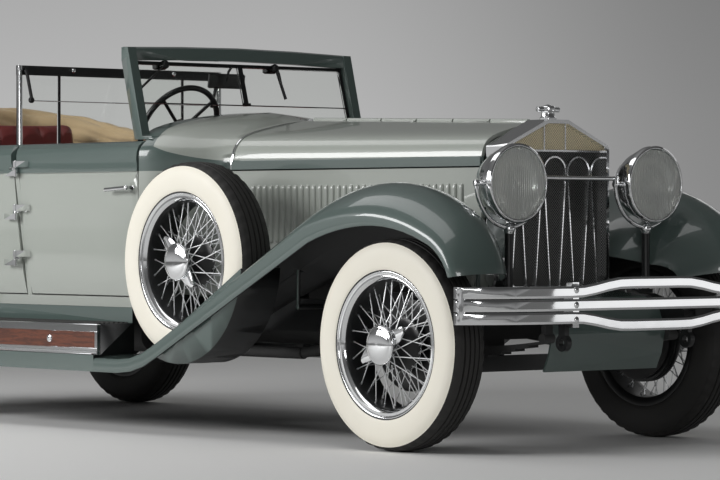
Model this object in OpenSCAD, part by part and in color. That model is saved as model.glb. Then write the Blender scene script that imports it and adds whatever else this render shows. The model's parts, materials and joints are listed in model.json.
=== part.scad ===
// Open four-door touring car of about 1930: whole assembly.
// Millimetres. +X forward, +Y to the car's left, +Z up, ground at Z = 0.

/* [Overall] */
// Front axle ahead of the origin
axle_ahead = 2000; // [1980:5:2020]
// Front bumper face to front axle
front_overhang = 720; // [710:5:740]
// Distance between the axles
wheelbase = 3700; // [3680:5:3720]
// Rear axle to rear bumper face
rear_overhang = 1020; // [1010:5:1040]
// How far the wheel planes lie outside the body sides
wheel_out = 30; // [26:1:34]

/* [Wheels] */
// Tyre outside radius
tyre_r = 428; // [420:1:434]
// Tyre section width
tyre_w = 185; // [175:1:190]
// Radius of the rim where the tyre beads sit
bead_r = 276; // [270:1:282]
// Height of the rim flange above the bead seat
flange_h = 18; // [14:1:22]
// Half width of the rim over its flanges
rim_half = 86; // [80:1:90]
// Spoke radius
spoke_r = 2.8; // [2.2:0.1:3.4]
// Spokes in the outer row
outer_spokes = 24; // [16:4:28]
// Spokes in the inner row
inner_spokes = 36; // [24:4:40]
// Hub cap radius
cap_r = 80; // [70:1:86]
// Brake drum radius
drum_r = 190; // [170:1:200]
// Spindle radius at the hubs
spindle_r = 25; // [20:1:30]
// Running clearance round pins and spindles
pin_clear = 0.08; // [0.05:0.01:0.10]

/* [Steering] */
// Kingpins inside the wheel planes
kingpin_in = 150; // [146:1:154]
// Kingpin radius
kingpin_r = 15; // [12:1:17]
// Distance of the tie rod behind the front axle
tie_back = 170; // [160:2:190]
// Steering wheel radius
steer_r = 205; // [190:1:215]
// Distance of the steering wheel from the centre plane
steer_y = 262; // [250:2:280]
// Front axle to the middle of the steering wheel
steer_back = 2060; // [2050:2:2070]

/* [Chassis] */
// Distance of the frame rails from the centre plane
rail_y = 350; // [340:1:355]
// Frame rail width
rail_w = 60; // [50:1:66]
// Leaf spring width
leaf_w = 56; // [48:1:60]
// Radius of the towing eyes
tow_r = 15; // [12:1:18]
// Thickness of the towing eyes
tow_t = 24; // [20:1:30]

/* [Body] */
// Half width of the body at the doors
body_half = 700; // [694:1:704]
// Height of the sill's lower edge
sill_z = 541; // [536:1:546]
// Height of the doors' lower edge
door_z = 592; // [588:1:600]
// Height of the belt moulding's lower edge
belt_z = 1143; // [1135:1:1150]
// Height of the doors' upper edge
rail_z = 1277; // [1270:1:1284]
// How far the belt moulding stands proud
belt_proud = 9; // [6:1:10]
// Thickness of doors and body walls
wall = 60; // [50:1:64]
// Gap round the doors
door_gap = 6; // [6:0.5:8]
// Front axle to the front edge of the front doors
door_back = 1785; // [1778:1:1790]
// Centre post at the belt, behind the middle of both doors
post_back = 102.5; // [98:0.5:107]
// Width of the centre post
post_w = 30; // [26:1:36]
// How far the centre post leans forward at the sill
post_lean = 78; // [60:1:84]
// Rear edge of the rear doors ahead of the rear axle
door_ahead = 260; // [250:1:270]
// Rear axle to the rear face of the body
tail_back = 650; // [630:1:670]
// Radius of the body's rear corners
corner_r = 400; // [360:5:420]
// Height of the floor's underside
floor_z = 592; // [590:1:596]

/* [Bonnet] */
// Front axle to the rear edge of the bonnet
bonnet_back = 1448; // [1440:1:1460]
// Half width of the bonnet at its rear edge
bonnet_rear_half = 440; // [430:1:450]
// Height of the bonnet at its rear edge
bonnet_rear_z = 1373; // [1365:1:1380]
// Height of the bonnet at its front edge
bonnet_front_z = 1333; // [1328:1:1333]
// Lower edge of the bonnet sides
bonnet_low_z = 700; // [690:1:710]
// Louvres in each side
louvres = 34; // [20:1:38]
// How far the louvres stand out
louvre_r = 9; // [6:0.5:12]
// Louvre width
louvre_w = 24; // [18:1:28]
// Hinge rod radius
rod_r = 6; // [5:0.5:7]

/* [Radiator] */
// Radiator face ahead of the front axle
rad_ahead = 152; // [145:1:160]
// Half width of the radiator
rad_half = 294; // [288:1:300]
// Depth of the radiator shell
rad_depth = 120; // [110:1:126]
// Height of the radiator's shoulders
rad_shoulder_z = 1235; // [1228:1:1242]
// Height of the radiator's peak
rad_peak_z = 1340; // [1338:1:1346]
// Half width of the flat at the peak
rad_flat = 58; // [50:1:66]
// Lower edge of the radiator
rad_low_z = 640; // [630:1:650]
// Width of the shell's face
rad_rim = 16; // [14:1:20]

/* [Fenders] */
// How far the fenders reach out past the tyres
fender_over = 62.5; // [58:0.5:67]
// Fender sheet thickness
fender_t = 8; // [6:1:10]
// Radius of the front fender's crown
fender_r = 830; // [822:1:838]
// Height of the front fender's crown
fender_top = 1080; // [1074:1:1086]
// Front axle to where the front fenders turn flat
flat_back = 1700; // [1690:1:1710]
// Front axle to the front end of the running boards
board_back = 1866; // [1860:1:1870]
// Height of the fender where it meets the running board
board_z = 335; // [328:1:342]
// Height of the lower edge of the running board apron
apron_z = 262; // [256:1:268]
// Rear end of the running boards ahead of the rear axle
board_ahead = 550; // [540:1:560]

/* [Spare wheels] */
// Spare wheel behind the front axle
spare_back = 1295; // [1288:1:1302]
// How far the spare wheel planes lie outside the body sides
spare_out = 55; // [50:1:58]
// Spare wheel height
spare_z = 750; // [744:1:756]

/* [Lamps] */
// Headlamp lens ahead of the front axle
lamp_ahead = 330; // [322:1:338]
// Headlamp distance from the centre plane
lamp_y = 390; // [384:1:396]
// Headlamp height
lamp_z = 1074; // [1068:1:1080]
// Headlamp rim radius
lamp_r = 160; // [150:1:166]

/* [Windscreen] */
// Front axle to the foot of the windscreen at the doors' upper edge
screen_back = 1848; // [1844:1:1852]
// Backward lean of the windscreen, degrees
screen_lean = 16; // [14:0.5:18]
// Height of the windscreen header
screen_top = 1700; // [1690:1:1710]
// Windscreen pillars inside the body sides
screen_in = 48; // [42:1:54]
// Partition behind the centre post
partition_back = 135; // [125:1:145]

/* [Bumpers] */
// Half width of the bumpers
bumper_half = 930; // [915:5:940]
// Height of a bumper bar
bar_h = 46; // [40:1:50]
// Thickness of a bumper bar
bar_t = 14; // [10:1:18]
// Height of the middle bumper bar
bumper_z = 595; // [588:1:602]
// Distance of the bumper clamps from the centre plane
clamp_y = 440; // [430:1:450]

/* [Hidden] */

front_x = axle_ahead;
rear_x = front_x - wheelbase;
nose_face = front_x + front_overhang;
tail_face = rear_x - rear_overhang;
wheel_y = body_half + wheel_out;
kingpin_y = wheel_y - kingpin_in;
spare_y = body_half + spare_out;
screen_half = body_half - screen_in;
fender_out = wheel_y + tyre_w / 2 + fender_over;
bonnet_rear_x = front_x - bonnet_back;
screen_x = front_x - screen_back;
door_front_x = front_x - door_back;
door_rear_x = rear_x + door_ahead;
post_x = (door_front_x + door_rear_x) / 2 - post_back;
partition_x = post_x - partition_back;
tail_x = rear_x - tail_back;
flat_x = front_x - flat_back;
board_front_x = front_x - board_back;
board_rear_x = rear_x + board_ahead;
rad_x = front_x + rad_ahead;
bonnet_front_x = rad_x - rad_depth - 8;
bonnet_front_half = rad_half + 16;
lamp_x = front_x + lamp_ahead;
spare_x = front_x - spare_back;
flange_r = bead_r + flange_h;
hub_z = 22;
lamp_foot = 625;
hinge_x = post_x + 25;
hinge_y = body_half + belt_proud + 16;
hinge_zs = [754, 965, 1165];
bore_r = spindle_r + pin_clear;
belt_half = body_half + belt_proud;
seam_z = belt_z + 42;

light_grey = [0.66, 0.70, 0.67];
dark_green = [0.30, 0.38, 0.36];
black = [0.06, 0.06, 0.06];
chrome = [0.85, 0.86, 0.88];
iron = [0.25, 0.25, 0.26];
cream = [0.93, 0.91, 0.85];
leather = [0.35, 0.10, 0.12];
canvas = [0.75, 0.64, 0.48];
timber = [0.42, 0.20, 0.10];

steer_c = [front_x - steer_back, -steer_y, 1345];
steer_tilt = 62;
column = [sin(steer_tilt), 0, -cos(steer_tilt)];
column_r = 20;

// Helpers: point lists.
function rev(v) = [for (i = [len(v) - 1:-1:0]) v[i]];
function lerp(a, b, t) = a + (b - a) * t;
function ease(t) = t <= 0 ? 0 : t >= 1 ? 1 : (1 - cos(180 * t)) / 2;
function unit(v) = v / norm(v);

// Sheet of a given thickness: outer and inner grids of points, stitched along their edges.
module sheet(outer_grid, inner_grid) {
    n = len(outer_grid);
    m = len(outer_grid[0]);
    turn = cross(outer_grid[0][1] - outer_grid[0][0], outer_grid[1][0] - outer_grid[0][0])
        * (outer_grid[0][0] - inner_grid[0][0]) > 0;
    pts = concat([for (r = outer_grid) for (p = turn ? rev(r) : r) p],
        [for (r = inner_grid) for (p = turn ? rev(r) : r) p]);
    o = function (i, j) i * m + j;
    k = n * m;
    faces = concat(
        [for (i = [0:n - 2]) for (j = [0:m - 2]) each [
            [o(i, j), o(i, j + 1), o(i + 1, j + 1)], [o(i, j), o(i + 1, j + 1), o(i + 1, j)],
            [k + o(i, j), k + o(i + 1, j + 1), k + o(i, j + 1)],
            [k + o(i, j), k + o(i + 1, j), k + o(i + 1, j + 1)]]],
        [for (i = [0:n - 2]) each [
            [o(i, 0), o(i + 1, 0), k + o(i + 1, 0)], [o(i, 0), k + o(i + 1, 0), k + o(i, 0)],
            [o(i + 1, m - 1), o(i, m - 1), k + o(i, m - 1)],
            [o(i + 1, m - 1), k + o(i, m - 1), k + o(i + 1, m - 1)]]],
        [for (j = [0:m - 2]) each [
            [o(0, j + 1), o(0, j), k + o(0, j)], [o(0, j + 1), k + o(0, j), k + o(0, j + 1)],
            [o(n - 1, j), o(n - 1, j + 1), k + o(n - 1, j + 1)],
            [o(n - 1, j), k + o(n - 1, j + 1), k + o(n - 1, j)]]]);
    polyhedron(pts, faces);
}

// Solid bar through a list of closed sections.
function total(v, i = 0) = i == len(v) - 1 ? v[i] : v[i] + total(v, i + 1);
function facing(s) = total([for (j = [1:len(s) - 2]) cross(s[j] - s[0], s[j + 1] - s[0])]);
module bar(sections) {
    n = len(sections);
    m = len(sections[0]);
    turn = facing(sections[0]) * (total(sections[1]) - total(sections[0])) > 0;
    o = function (i, j) i * m + (j % m);
    faces = concat(
        [for (i = [0:n - 2]) for (j = [0:m - 1]) each [
            [o(i, j), o(i, j + 1), o(i + 1, j + 1)], [o(i, j), o(i + 1, j + 1), o(i + 1, j)]]],
        [for (j = [1:m - 2]) [o(0, 0), o(0, j + 1), o(0, j)]],
        [for (j = [1:m - 2]) [o(n - 1, 0), o(n - 1, j), o(n - 1, j + 1)]]);
    polyhedron([for (s = sections) for (p = turn ? rev(s) : s) p], faces);
}

// Inward offset of an open curve of 2D points.
// Twice as many points on the smooth curve through c.
function finer(c) = let (n = len(c) - 1) concat([for (i = [0:n - 1])
    each [c[i], (9 * (c[i] + c[i + 1]) - c[max(i - 1, 0)] - c[min(i + 2, n)]) / 16]], [c[n]]);
function inset(c, t) = [for (i = [0:len(c) - 1])
    let (a = c[max(i - 1, 0)], b = c[min(i + 1, len(c) - 1)], d = unit(b - a))
    c[i] + t * [-d[1], d[0]]];

module both() {
    children();
    mirror([0, 1, 0]) children();
}

// Side view outline given as [x, z], extruded across the car between two y values.
module side_plate(pts, y0, y1) translate([0, y1, 0]) rotate([90, 0, 0])
    linear_extrude(y1 - y0) polygon(pts);

// Front view outline given as [y, z], extruded along the car between two x values.
module front_plate(pts, x0, x1) translate([x0, 0, 0]) rotate([90, 0, 90])
    linear_extrude(x1 - x0) polygon(pts);

module block(x0, x1, y0, y1, z0, z1) translate([x0, y0, z0]) cube([x1 - x0, y1 - y0, z1 - z0]);

// Rod between two points.
module rod(a, b, r) {
    d = b - a;
    translate(a) rotate([0, acos(d[2] / norm(d)), atan2(d[1], d[0])]) cylinder(r = r, h = norm(d));
}

// Chassis.
rail_side = [[front_x + 560, 510], [front_x + 560, 560], [front_x + 330, 625], [front_x - 480, 625],
    [front_x - 700, 588], [rear_x + 345, 588], [rear_x + 210, 690], [rear_x - 250, 690],
    [rear_x - 560, 580], [rear_x - 860, 540], [rear_x - 860, 480], [rear_x - 560, 490],
    [rear_x - 250, 605], [rear_x + 210, 605], [rear_x + 390, 450], [front_x - 700, 450],
    [front_x - 470, 510]];
rail_in = rail_y - rail_w / 2;
rail_out = rail_y + rail_w / 2;
seat = 0.2;

module chassis_frame() color(black) {
    both() side_plate(rail_side, -rail_out, -rail_in);
    both() tow_eye(front_x + 545, 440);
    both() tow_eye(rear_x - 840, 440);
    both() bumper_arm(front_x + 480, nose_face - 108, nose_face - 62 - seat);
    both() bumper_arm(rear_x - 780, tail_face + 108, tail_face + 62 + seat);
    // Brackets under the running boards.
    both() for (x = [board_front_x - 40, post_x, board_rear_x + 120]) {
        block(x - 20, x + 20, -fender_out + 40, -rail_y + 20, board_z - 40, board_z - 14 - seat);
        block(x - 20, x + 20, -rail_y - 20, -rail_y + 20, board_z - 40, 455);
    }
    // Pads up to the floor.
    both() for (x = [door_front_x - 60, post_x, board_rear_x + 100])
        block(x - 40, x + 40, -rail_y - 20, -rail_y + 20, 580, floor_z - seat);
}

// Tubes between the rails, and the seat of the radiator.
module cross_members() color(black) {
    for (c = [[front_x + 300, 560], [front_x - 1800, 552], [rear_x + 900, 552], [rear_x - 330, 620],
        [rear_x - 830, 510]])
        rod([c[0], -rail_in + seat, c[1]], [c[0], rail_in - seat, c[1]], 28);
    block(rad_x - 104, rad_x - 24, -rail_in + seat, rail_in - seat, 590, rad_low_z - seat);
}

module tow_eye(x, z) difference() {
    union() {
        translate([x, -rail_y, z]) rotate([90, 0, 0]) cylinder(r = 34, h = tow_t, center = true);
        block(x - 18, x + 18, -rail_y - tow_t / 2, -rail_y + tow_t / 2, z, z + 78);
    }
    translate([x, -rail_y, z]) rotate([90, 0, 0]) cylinder(r = tow_r, h = 60, center = true);
}

module bumper_arm(x0, x1, x2) {
    translate([0, 0, bumper_z - 73]) linear_extrude(60)
        polygon([[x0, -rail_y + 14], [x0, -rail_y - 14], [x1, -clamp_y - 16], [x1, -clamp_y + 12]]);
    block(min(x1, x2) - (x1 < x2 ? 14 : 0), max(x1, x2) + (x1 > x2 ? 14 : 0), -clamp_y - 20,
        -clamp_y + 20, bumper_z - 22, bumper_z + 22);
}

module engine() color(iron) {
    block(front_x - 1250, front_x - 120, -165, 165, 430, 940);
    block(front_x - 1230, front_x - 140, -100, 100, 900, 1120);
    block(front_x - 1240, front_x - 300, -120, 120, 340, 440);
    block(front_x - 1690, front_x - 1200, -120, 120, 380, 575);
    translate([front_x - 125, 0, 800]) rotate([0, 90, 0]) cylinder(r = 60, h = 60);
    translate([front_x - 70, 0, 800]) rotate([0, 90, 0]) cylinder(r = 190, h = 18);
    both() block(front_x - 1100, front_x - 1040, -rail_in + seat, -100, 520, 560);
    both() block(front_x - 300, front_x - 240, -rail_in + seat, -100, 520, 560);
}

module front_axle() color(black) difference() {
    union() {
        block(front_x - 28, front_x + 28, -470, 470, 306, 370);
        both() bar([for (s = [[-470, 306, 370], [-560, 403, 456]]) [
            [front_x - 28, s[0], s[1]], [front_x + 28, s[0], s[1]],
            [front_x + 28, s[0], s[2]], [front_x - 28, s[0], s[2]]]]);
        both() translate([front_x, -kingpin_y, tyre_r - 33]) cylinder(r = 29, h = 66);
    }
    both() translate([front_x, -kingpin_y, 0]) cylinder(r = kingpin_r + pin_clear, h = 900);
}

module rear_axle() color(black) {
    rod([rear_x, -wheel_y + 108, tyre_r], [rear_x, wheel_y - 108, tyre_r], 45);
    translate([rear_x, 0, tyre_r]) sphere(r = 150);
    rod([rear_x, 0, tyre_r], [front_x - 1692, 0, 470], 42);
    both() backplate(rear_x);
    both() spindle(rear_x);
}

module backplate(x) translate([x, -wheel_y + 112, tyre_r]) rotate([90, 0, 0]) cylinder(r = 178, h = 9);

module spindle(x) translate([x, -wheel_y + 114, tyre_r]) rotate([90, 0, 0]) cylinder(r = spindle_r,
    h = 166);

// Leaf pack: leaves get shorter downwards.
function leaf_line(l, sag, drop) = [for (i = [0:14]) let (x = l * (i / 14 - 0.5))
    [x, sag * pow(2 * x / l, 2) - drop]];
module leaf_spring(x, y, z, l, sag, leaves) translate([x, 0, z]) {
    for (k = [0:leaves - 1])
        let (f = 1 - k / (leaves + 0.7), top = leaf_line(l * f, sag * f * f, k * 9 - leaves * 9),
            low = leaf_line(l * f, sag * f * f, k * 9 + (k == leaves - 1 ? 9 : 9.4) - leaves * 9))
        side_plate(concat(low, rev(top)), -y - leaf_w / 2, -y + leaf_w / 2);
    for (s = [-1, 1]) translate([s * l / 2, -y, sag + leaves * 9 + 10]) rotate([90, 0, 0])
        cylinder(r = 20, h = leaf_w, center = true);
}

module leaf_springs() color(iron) {
    both() front_spring();
    both() rear_spring();
}
module front_spring() {
    leaf_spring(front_x, rail_y, 370 + seat, 900, 30, 5);
    for (x = [front_x - 450, front_x + 450]) block(x - 12, x + 12, -rail_y - 20, -rail_y + 20, 455,
        510 - seat);
}
// The rear springs hang under the axle, beside the rails.
rear_leaf_y = rail_out + leaf_w / 2 + 6;
module rear_spring() {
    leaf_spring(rear_x, rear_leaf_y, tyre_r - 45 - seat - 54, 1060, 92, 6);
    for (x = [rear_x - 530, rear_x + 530]) let (z = tyre_r - 45 - seat + 102) {
        rod([x, -rear_leaf_y, z], [x, -rail_out - seat, z], 11);
        if (x < rear_x) block(x - 14, x + 14, -rear_leaf_y, -rail_out - seat, z, 540);
    }
}

module exhaust() color(iron) {
    y = -215;
    rod([front_x - 960, -150, 400], [front_x - 1250, y, 345], 25);
    rod([front_x - 1225, y, 345], [rear_x - 845, y, 345], 26);
    rod([front_x - 2300, y, 400], [front_x - 2950, y, 400], 80);
    for (x = [front_x - 2000, rear_x + 600]) {
        block(x - 12, x + 12, -rail_in + seat, y + 10, 350, 374);
        block(x - 12, x + 12, -rail_in + seat, -rail_in + 16, 352, 500);
    }
    block(rear_x - 842, rear_x - 818, y - 10, y + 10, 350, 482 - seat);
}

module fuel_tank() color(black) {
    block(rear_x - 730, rear_x - 300, -300, 300, 382, 505);
    block(rear_x - 700, rear_x - 660, -rail_in + seat, rail_in - seat, 470, 510);
    block(rear_x - 420, rear_x - 380, -300, 300, 480, 510);
}

// Steered knuckles.
module knuckle() color(iron) {
    translate([front_x, -kingpin_y, tyre_r - 75]) cylinder(r = kingpin_r, h = 150);
    for (z = [tyre_r - 75, tyre_r + 36.5]) translate([front_x, -kingpin_y, z]) cylinder(r = 28, h = 38.5);
    for (z = [tyre_r - 75, tyre_r + 36.5]) block(front_x - 24, front_x + 24, -kingpin_y - 46,
        -kingpin_y, z, z + 38.5);
    block(front_x - 30, front_x + 30, -wheel_y + 110, -kingpin_y - 34, tyre_r - 75, tyre_r + 75);
    backplate(front_x);
    spindle(front_x);
    rod([front_x, -kingpin_y, tyre_r - 66], [front_x - tie_back, -kingpin_y, tyre_r - 66], 13);
    translate([front_x - tie_back, -kingpin_y, tyre_r - 114]) cylinder(r = 11, h = 66);
}
module knuckle_right() knuckle();
module knuckle_left() mirror([0, 1, 0]) knuckle();

module tie_rod() color(iron) difference() {
    union() {
        rod([front_x - tie_back, -kingpin_y, tyre_r - 96],
            [front_x - tie_back, kingpin_y, tyre_r - 96], 12);
        both() translate([front_x - tie_back, -kingpin_y, tyre_r - 110]) cylinder(r = 22, h = 28);
    }
    both() translate([front_x - tie_back, -kingpin_y, 0]) cylinder(r = 11 + pin_clear, h = 900);
}

// Wheels: built about Z with the outer face towards +Z, then laid on their axle.
module on_axle(x, y, z) translate([x, y, z]) rotate([90, 0, 0]) children();

tyre_mid = (bead_r - 6 + tyre_r) / 2;
tyre_half = (tyre_r - bead_r + 6) / 2;
function oval(t) = let (c = cos(t), s = sin(t)) [
    tyre_mid + tyre_half * sign(s) * pow(abs(s), 0.8), tyre_w / 2 * sign(c) * pow(abs(c), 0.8)];
tyre_curve = [for (t = [-80:10:260]) oval(t)];
module tyre_body() color(black) rotate_extrude($fn = 96)
    intersection() {
        polygon(tyre_curve);
        translate([bead_r + 0.3, -200]) square([400, 400]);
    }

rim_section = [[bead_r - 22, -rim_half + 14], [bead_r - 18, -rim_half], [flange_r, -rim_half],
    [flange_r, -rim_half + 6], [bead_r + 6, -rim_half + 22], [bead_r, -rim_half + 26],
    [bead_r, rim_half - 26], [bead_r + 6, rim_half - 22], [flange_r, rim_half - 6],
    [flange_r, rim_half], [bead_r - 18, rim_half], [bead_r - 22, rim_half - 14]];

module spoke_row(n, r0, z0, r1, z1, twist) for (i = [0:n - 1])
    let (side = i % 2 == 0 ? 1 : -1, a = 360 / n * i, b = a + side * twist, dz = side * 4.5)
    rod([r0 * cos(a), r0 * sin(a), z0 + dz], [r1 * cos(b), r1 * sin(b), z1 + dz], spoke_r);

module wire_wheel(drum) color(chrome) {
    rotate_extrude($fn = 96) polygon(rim_section);
    difference() {
        union() {
            rotate_extrude($fn = 64) polygon([[0, -40], [90, -40], [98, hub_z - 14], [98, hub_z],
                [70, hub_z + 14],
                [60, hub_z + 66], [64, hub_z + 78], [cap_r, hub_z + 84], [cap_r, hub_z + 92],
                [cap_r - 6, hub_z + 98], [cap_r - 24, hub_z + 104], [0, hub_z + 108]]);
            if (drum) rotate_extrude($fn = 64) polygon([[0, -98], [drum_r, -98], [drum_r, -46],
                [drum_r - 12, -38], [0, -38]]);
            ears();
        }
        if (drum) translate([0, 0, -120]) cylinder(r = bore_r, h = 180);
        if (drum) translate([0, 0, -120]) cylinder(r = drum_r - 12, h = 62);
    }
    spoke_row(outer_spokes, 54, hub_z + 62, bead_r - 16, 34, 38);
    spoke_row(inner_spokes, 90, hub_z - 8, bead_r - 16, -22, 22);
}
// Two-eared wheel nut behind the cap.
module ears() for (a = [60, 240]) rotate([0, 0, a]) translate([0, -16, hub_z + 69]) cube([cap_r + 24,
    32, 12]);

module wheel(x) on_axle(x, -wheel_y, tyre_r) wire_wheel(true);
module wheel_front_right() wheel(front_x);
module wheel_front_left() mirror([0, 1, 0]) wheel(front_x);
module wheel_rear_right() wheel(rear_x);
module wheel_rear_left() mirror([0, 1, 0]) wheel(rear_x);
module tyre_front_right() on_axle(front_x, -wheel_y, tyre_r) tyre_body();
module tyre_front_left() mirror([0, 1, 0]) tyre_front_right();
module tyre_rear_right() on_axle(rear_x, -wheel_y, tyre_r) tyre_body();
module tyre_rear_left() mirror([0, 1, 0]) tyre_rear_right();
module spare_wheels() both() on_axle(spare_x, -spare_y, spare_z) wire_wheel(false);
module spare_tyres() both() on_axle(spare_x, -spare_y, spare_z) tyre_body();

// Radiator.
function rad_outline(g) = let (h = rad_half - g, s = rad_shoulder_z - g * 0.45, p = rad_peak_z - g,
    f = rad_flat - g * 0.16)
    [[-h + 30, rad_low_z + g], [-h, rad_low_z + 40 + g], [-h, s - 8], [-h + 8, s + 3], [-f, p], [f, p],
        [h - 8, s + 3],
        [h, s - 8], [h, rad_low_z + 40 + g], [h - 30, rad_low_z + g]];
module radiator_shell() color(chrome) difference() {
    front_plate(rad_outline(0), rad_x - rad_depth, rad_x);
    front_plate(rad_outline(rad_rim), rad_x - rad_depth - 5, rad_x + 5);
}

// One arch of the grille: a half ring on two legs that close in downwards.
function arch_line(r) = let (drop = rad_shoulder_z - 44 - rad_low_z - rad_rim - r)
    concat([[-r * 0.42, -drop]], [for (a = [180:-15:0]) [r * cos(a), r * sin(a)]], [[r * 0.42, -drop]]);
module arch(y, r, w) translate([rad_x - 32, y, rad_shoulder_z - 44 - r])
    rotate([90, 0, 90]) linear_extrude(12)
    polygon(concat(arch_line(r), rev(arch_line(r - w))));
bar_w = 7;
module radiator_grille() color(iron) {
    front_plate(rad_outline(rad_rim), rad_x - rad_depth + 20, rad_x - 30);
    intersection() {
        union() {
            for (y = [-270, -135, 0, 135, 270]) arch(y, 66, bar_w);
            block(rad_x - 32, rad_x - 18, -rad_half, rad_half, rad_shoulder_z - 27, rad_shoulder_z - 19);
            for (y = [-60, 60]) block(rad_x - 32, rad_x - 20, y - bar_w / 2, y + bar_w / 2,
                rad_shoulder_z - 23,
                rad_peak_z);
        }
        front_plate(rad_outline(rad_rim), rad_x - 60, rad_x);
    }
}

module radiator_cap() color(chrome) translate([rad_x - 62, 0, rad_peak_z]) {
    rotate_extrude($fn = 48) polygon([[0, 0], [36, 0], [36, 8], [29, 13], [27, 30], [31, 36], [31, 50],
        [26, 57], [0, 64]]);
    translate([0, 0, 43]) rotate([90, 0, 0]) cylinder(r = 11, h = 118, center = true);
}

// Bonnet: half section from the centre line down to the seam.
function bonnet_half(x) = lerp(bonnet_rear_half, bonnet_front_half,
    (x - bonnet_rear_x) / (bonnet_front_x - bonnet_rear_x));
function bonnet_top(x) = lerp(bonnet_rear_z, bonnet_front_z,
    (x - bonnet_rear_x) / (bonnet_front_x - bonnet_rear_x));
function bonnet_curve(x, y0) = let (h = bonnet_half(x), t = bonnet_top(x), d = t - belt_z)
    [[y0, t], [h * 0.3, t - d * 0.09], [h * 0.6, t - d * 0.21], [h * 0.80, t - d * 0.32],
        [h * 0.90, t - d * 0.43], [h * 0.96, t - d * 0.57], [h * 0.985, t - d * 0.70],
        [h, t - d * 0.82], [h, belt_z + 5]];
module bonnet_panel() color(light_grey) {
    xs = [bonnet_rear_x + 4, (bonnet_rear_x + bonnet_front_x) / 2, bonnet_front_x - 4];
    sheet([for (x = xs) [for (p = finer(bonnet_curve(x, rod_r + 12))) [x, -p[0], p[1]]]],
        [for (x = xs) [for (p = inset(finer(bonnet_curve(x, rod_r + 12)), -16)) [x, -p[0], p[1]]]]);
    intersection() {
        front_plate([[-600, belt_z + 5], [-600, seam_z], [0, seam_z], [0, belt_z + 5]],
            bonnet_rear_x + 4, bonnet_front_x - 4);
        bar([for (x = [xs[0], xs[2]]) let (h = bonnet_half(x)) [[x, -h - 7, belt_z], [x, -h + 6, belt_z],
            [x, -h + 6, seam_z + 9], [x, -h - 7, seam_z]]]);
    }
}
rod_a = [bonnet_rear_x - 2 + seat, 0, bonnet_rear_z];
rod_b = [rad_x - rad_depth - seat, 0, bonnet_front_z];
module knuckles(first) for (i = [first:2:5]) let (l = 1 / 6.4, a = lerp(rod_a, rod_b, 0.03 + i * l),
    b = lerp(rod_a, rod_b, 0.03 + i * l + l * 0.96))
    rod(a, b, rod_r + 6);
module bonnet_half_panel(first) difference() {
    union() {
        bonnet_panel();
        knuckles(first);
        for (i = [first:2:5]) let (l = 1 / 6.4, a = lerp(rod_a, rod_b, 0.03 + i * l),
            b = lerp(rod_a, rod_b, 0.03 + i * l + l * 0.96))
            block(a[0], b[0], -24, -4, b[2] - 13, a[2] - 4);
    }
    rod(lerp(rod_a, rod_b, -0.1), lerp(rod_a, rod_b, 1.1), rod_r + pin_clear);
}
module bonnet_rod() color(chrome) rod(rod_a, rod_b, rod_r);
module bonnet_right() bonnet_half_panel(0);
module bonnet_left() mirror([0, 1, 0]) bonnet_half_panel(1);

module bonnet_sides() both() bonnet_side();
module bonnet_side() color(light_grey) {
    x0 = bonnet_rear_x + 4;
    x1 = bonnet_front_x - 4;
    h0 = bonnet_half(x0);
    h1 = bonnet_half(x1);
    bar([for (z = [bonnet_low_z, belt_z - 1]) [[x0, -h0, z], [x1, -h1, z], [x1, -h1 + 20, z],
        [x0, -h0 + 20, z]]]);
    bar([for (z = [bonnet_low_z, bonnet_low_z + 14]) [[x0, -rail_y - 20, z], [x1, -h1, z],
        [x1, -h1 + 60, z], [x0, -rail_y + 20, z]]]);
    block(x1 - 60, x1, -rail_y, -h1 + 40, 625 + seat, bonnet_low_z + 4);
    block(x0, x0 + 60, -rail_y - 20, -rail_y + 20, 588 + seat, bonnet_low_z + 4);
    for (i = [0:louvres - 1]) let (x = lerp(x0 + 130, x1 - 110, i / (louvres - 1)), h = bonnet_half(x))
        translate([x, -h + 4, 830]) linear_extrude(245)
            polygon([[-louvre_w / 2, 0], [-louvre_w / 2, -louvre_r - 4], [-louvre_w / 4, -louvre_r - 4],
                [louvre_w / 2, -3], [louvre_w / 2, 0]]);
}

// Cowl between bonnet and doors.
function cowl_x(i) = lerp(bonnet_rear_x - 2, door_front_x + door_gap, i / 6);
function screen_plane(z) = screen_x - tan(screen_lean) * (z - rail_z);
function cowl_section(i) = let (t = i / 6, e = ease(t), h = lerp(bonnet_rear_half, body_half, e),
    top = lerp(bonnet_rear_z, 1418, e), d = top - belt_z)
    [[0, top], [h * 0.3, top - d * lerp(0.09, 0.06, e)], [h * 0.6, top - d * lerp(0.21, 0.17, e)],
        [h * 0.80, top - d * lerp(0.32, 0.30, e)], [h * 0.90, top - d * lerp(0.43, 0.44, e)],
        [h * lerp(0.96, 0.965, e), top - d * lerp(0.57, 0.56, e)],
            [h * lerp(0.985, 0.995, e), top - d * lerp(0.7, 0.66, e)],
        [h, top - d * 0.82], [h, belt_z], [h, 900], [h * lerp(1, 0.99, e), 740],
            [h * lerp(0.99, 0.96, e), 600]];
function cowl_at(i, z) = i < 6 ? cowl_x(i) : z > rail_z + 15 ? screen_plane(z) + 8.6 : door_front_x +
    door_gap;
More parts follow.
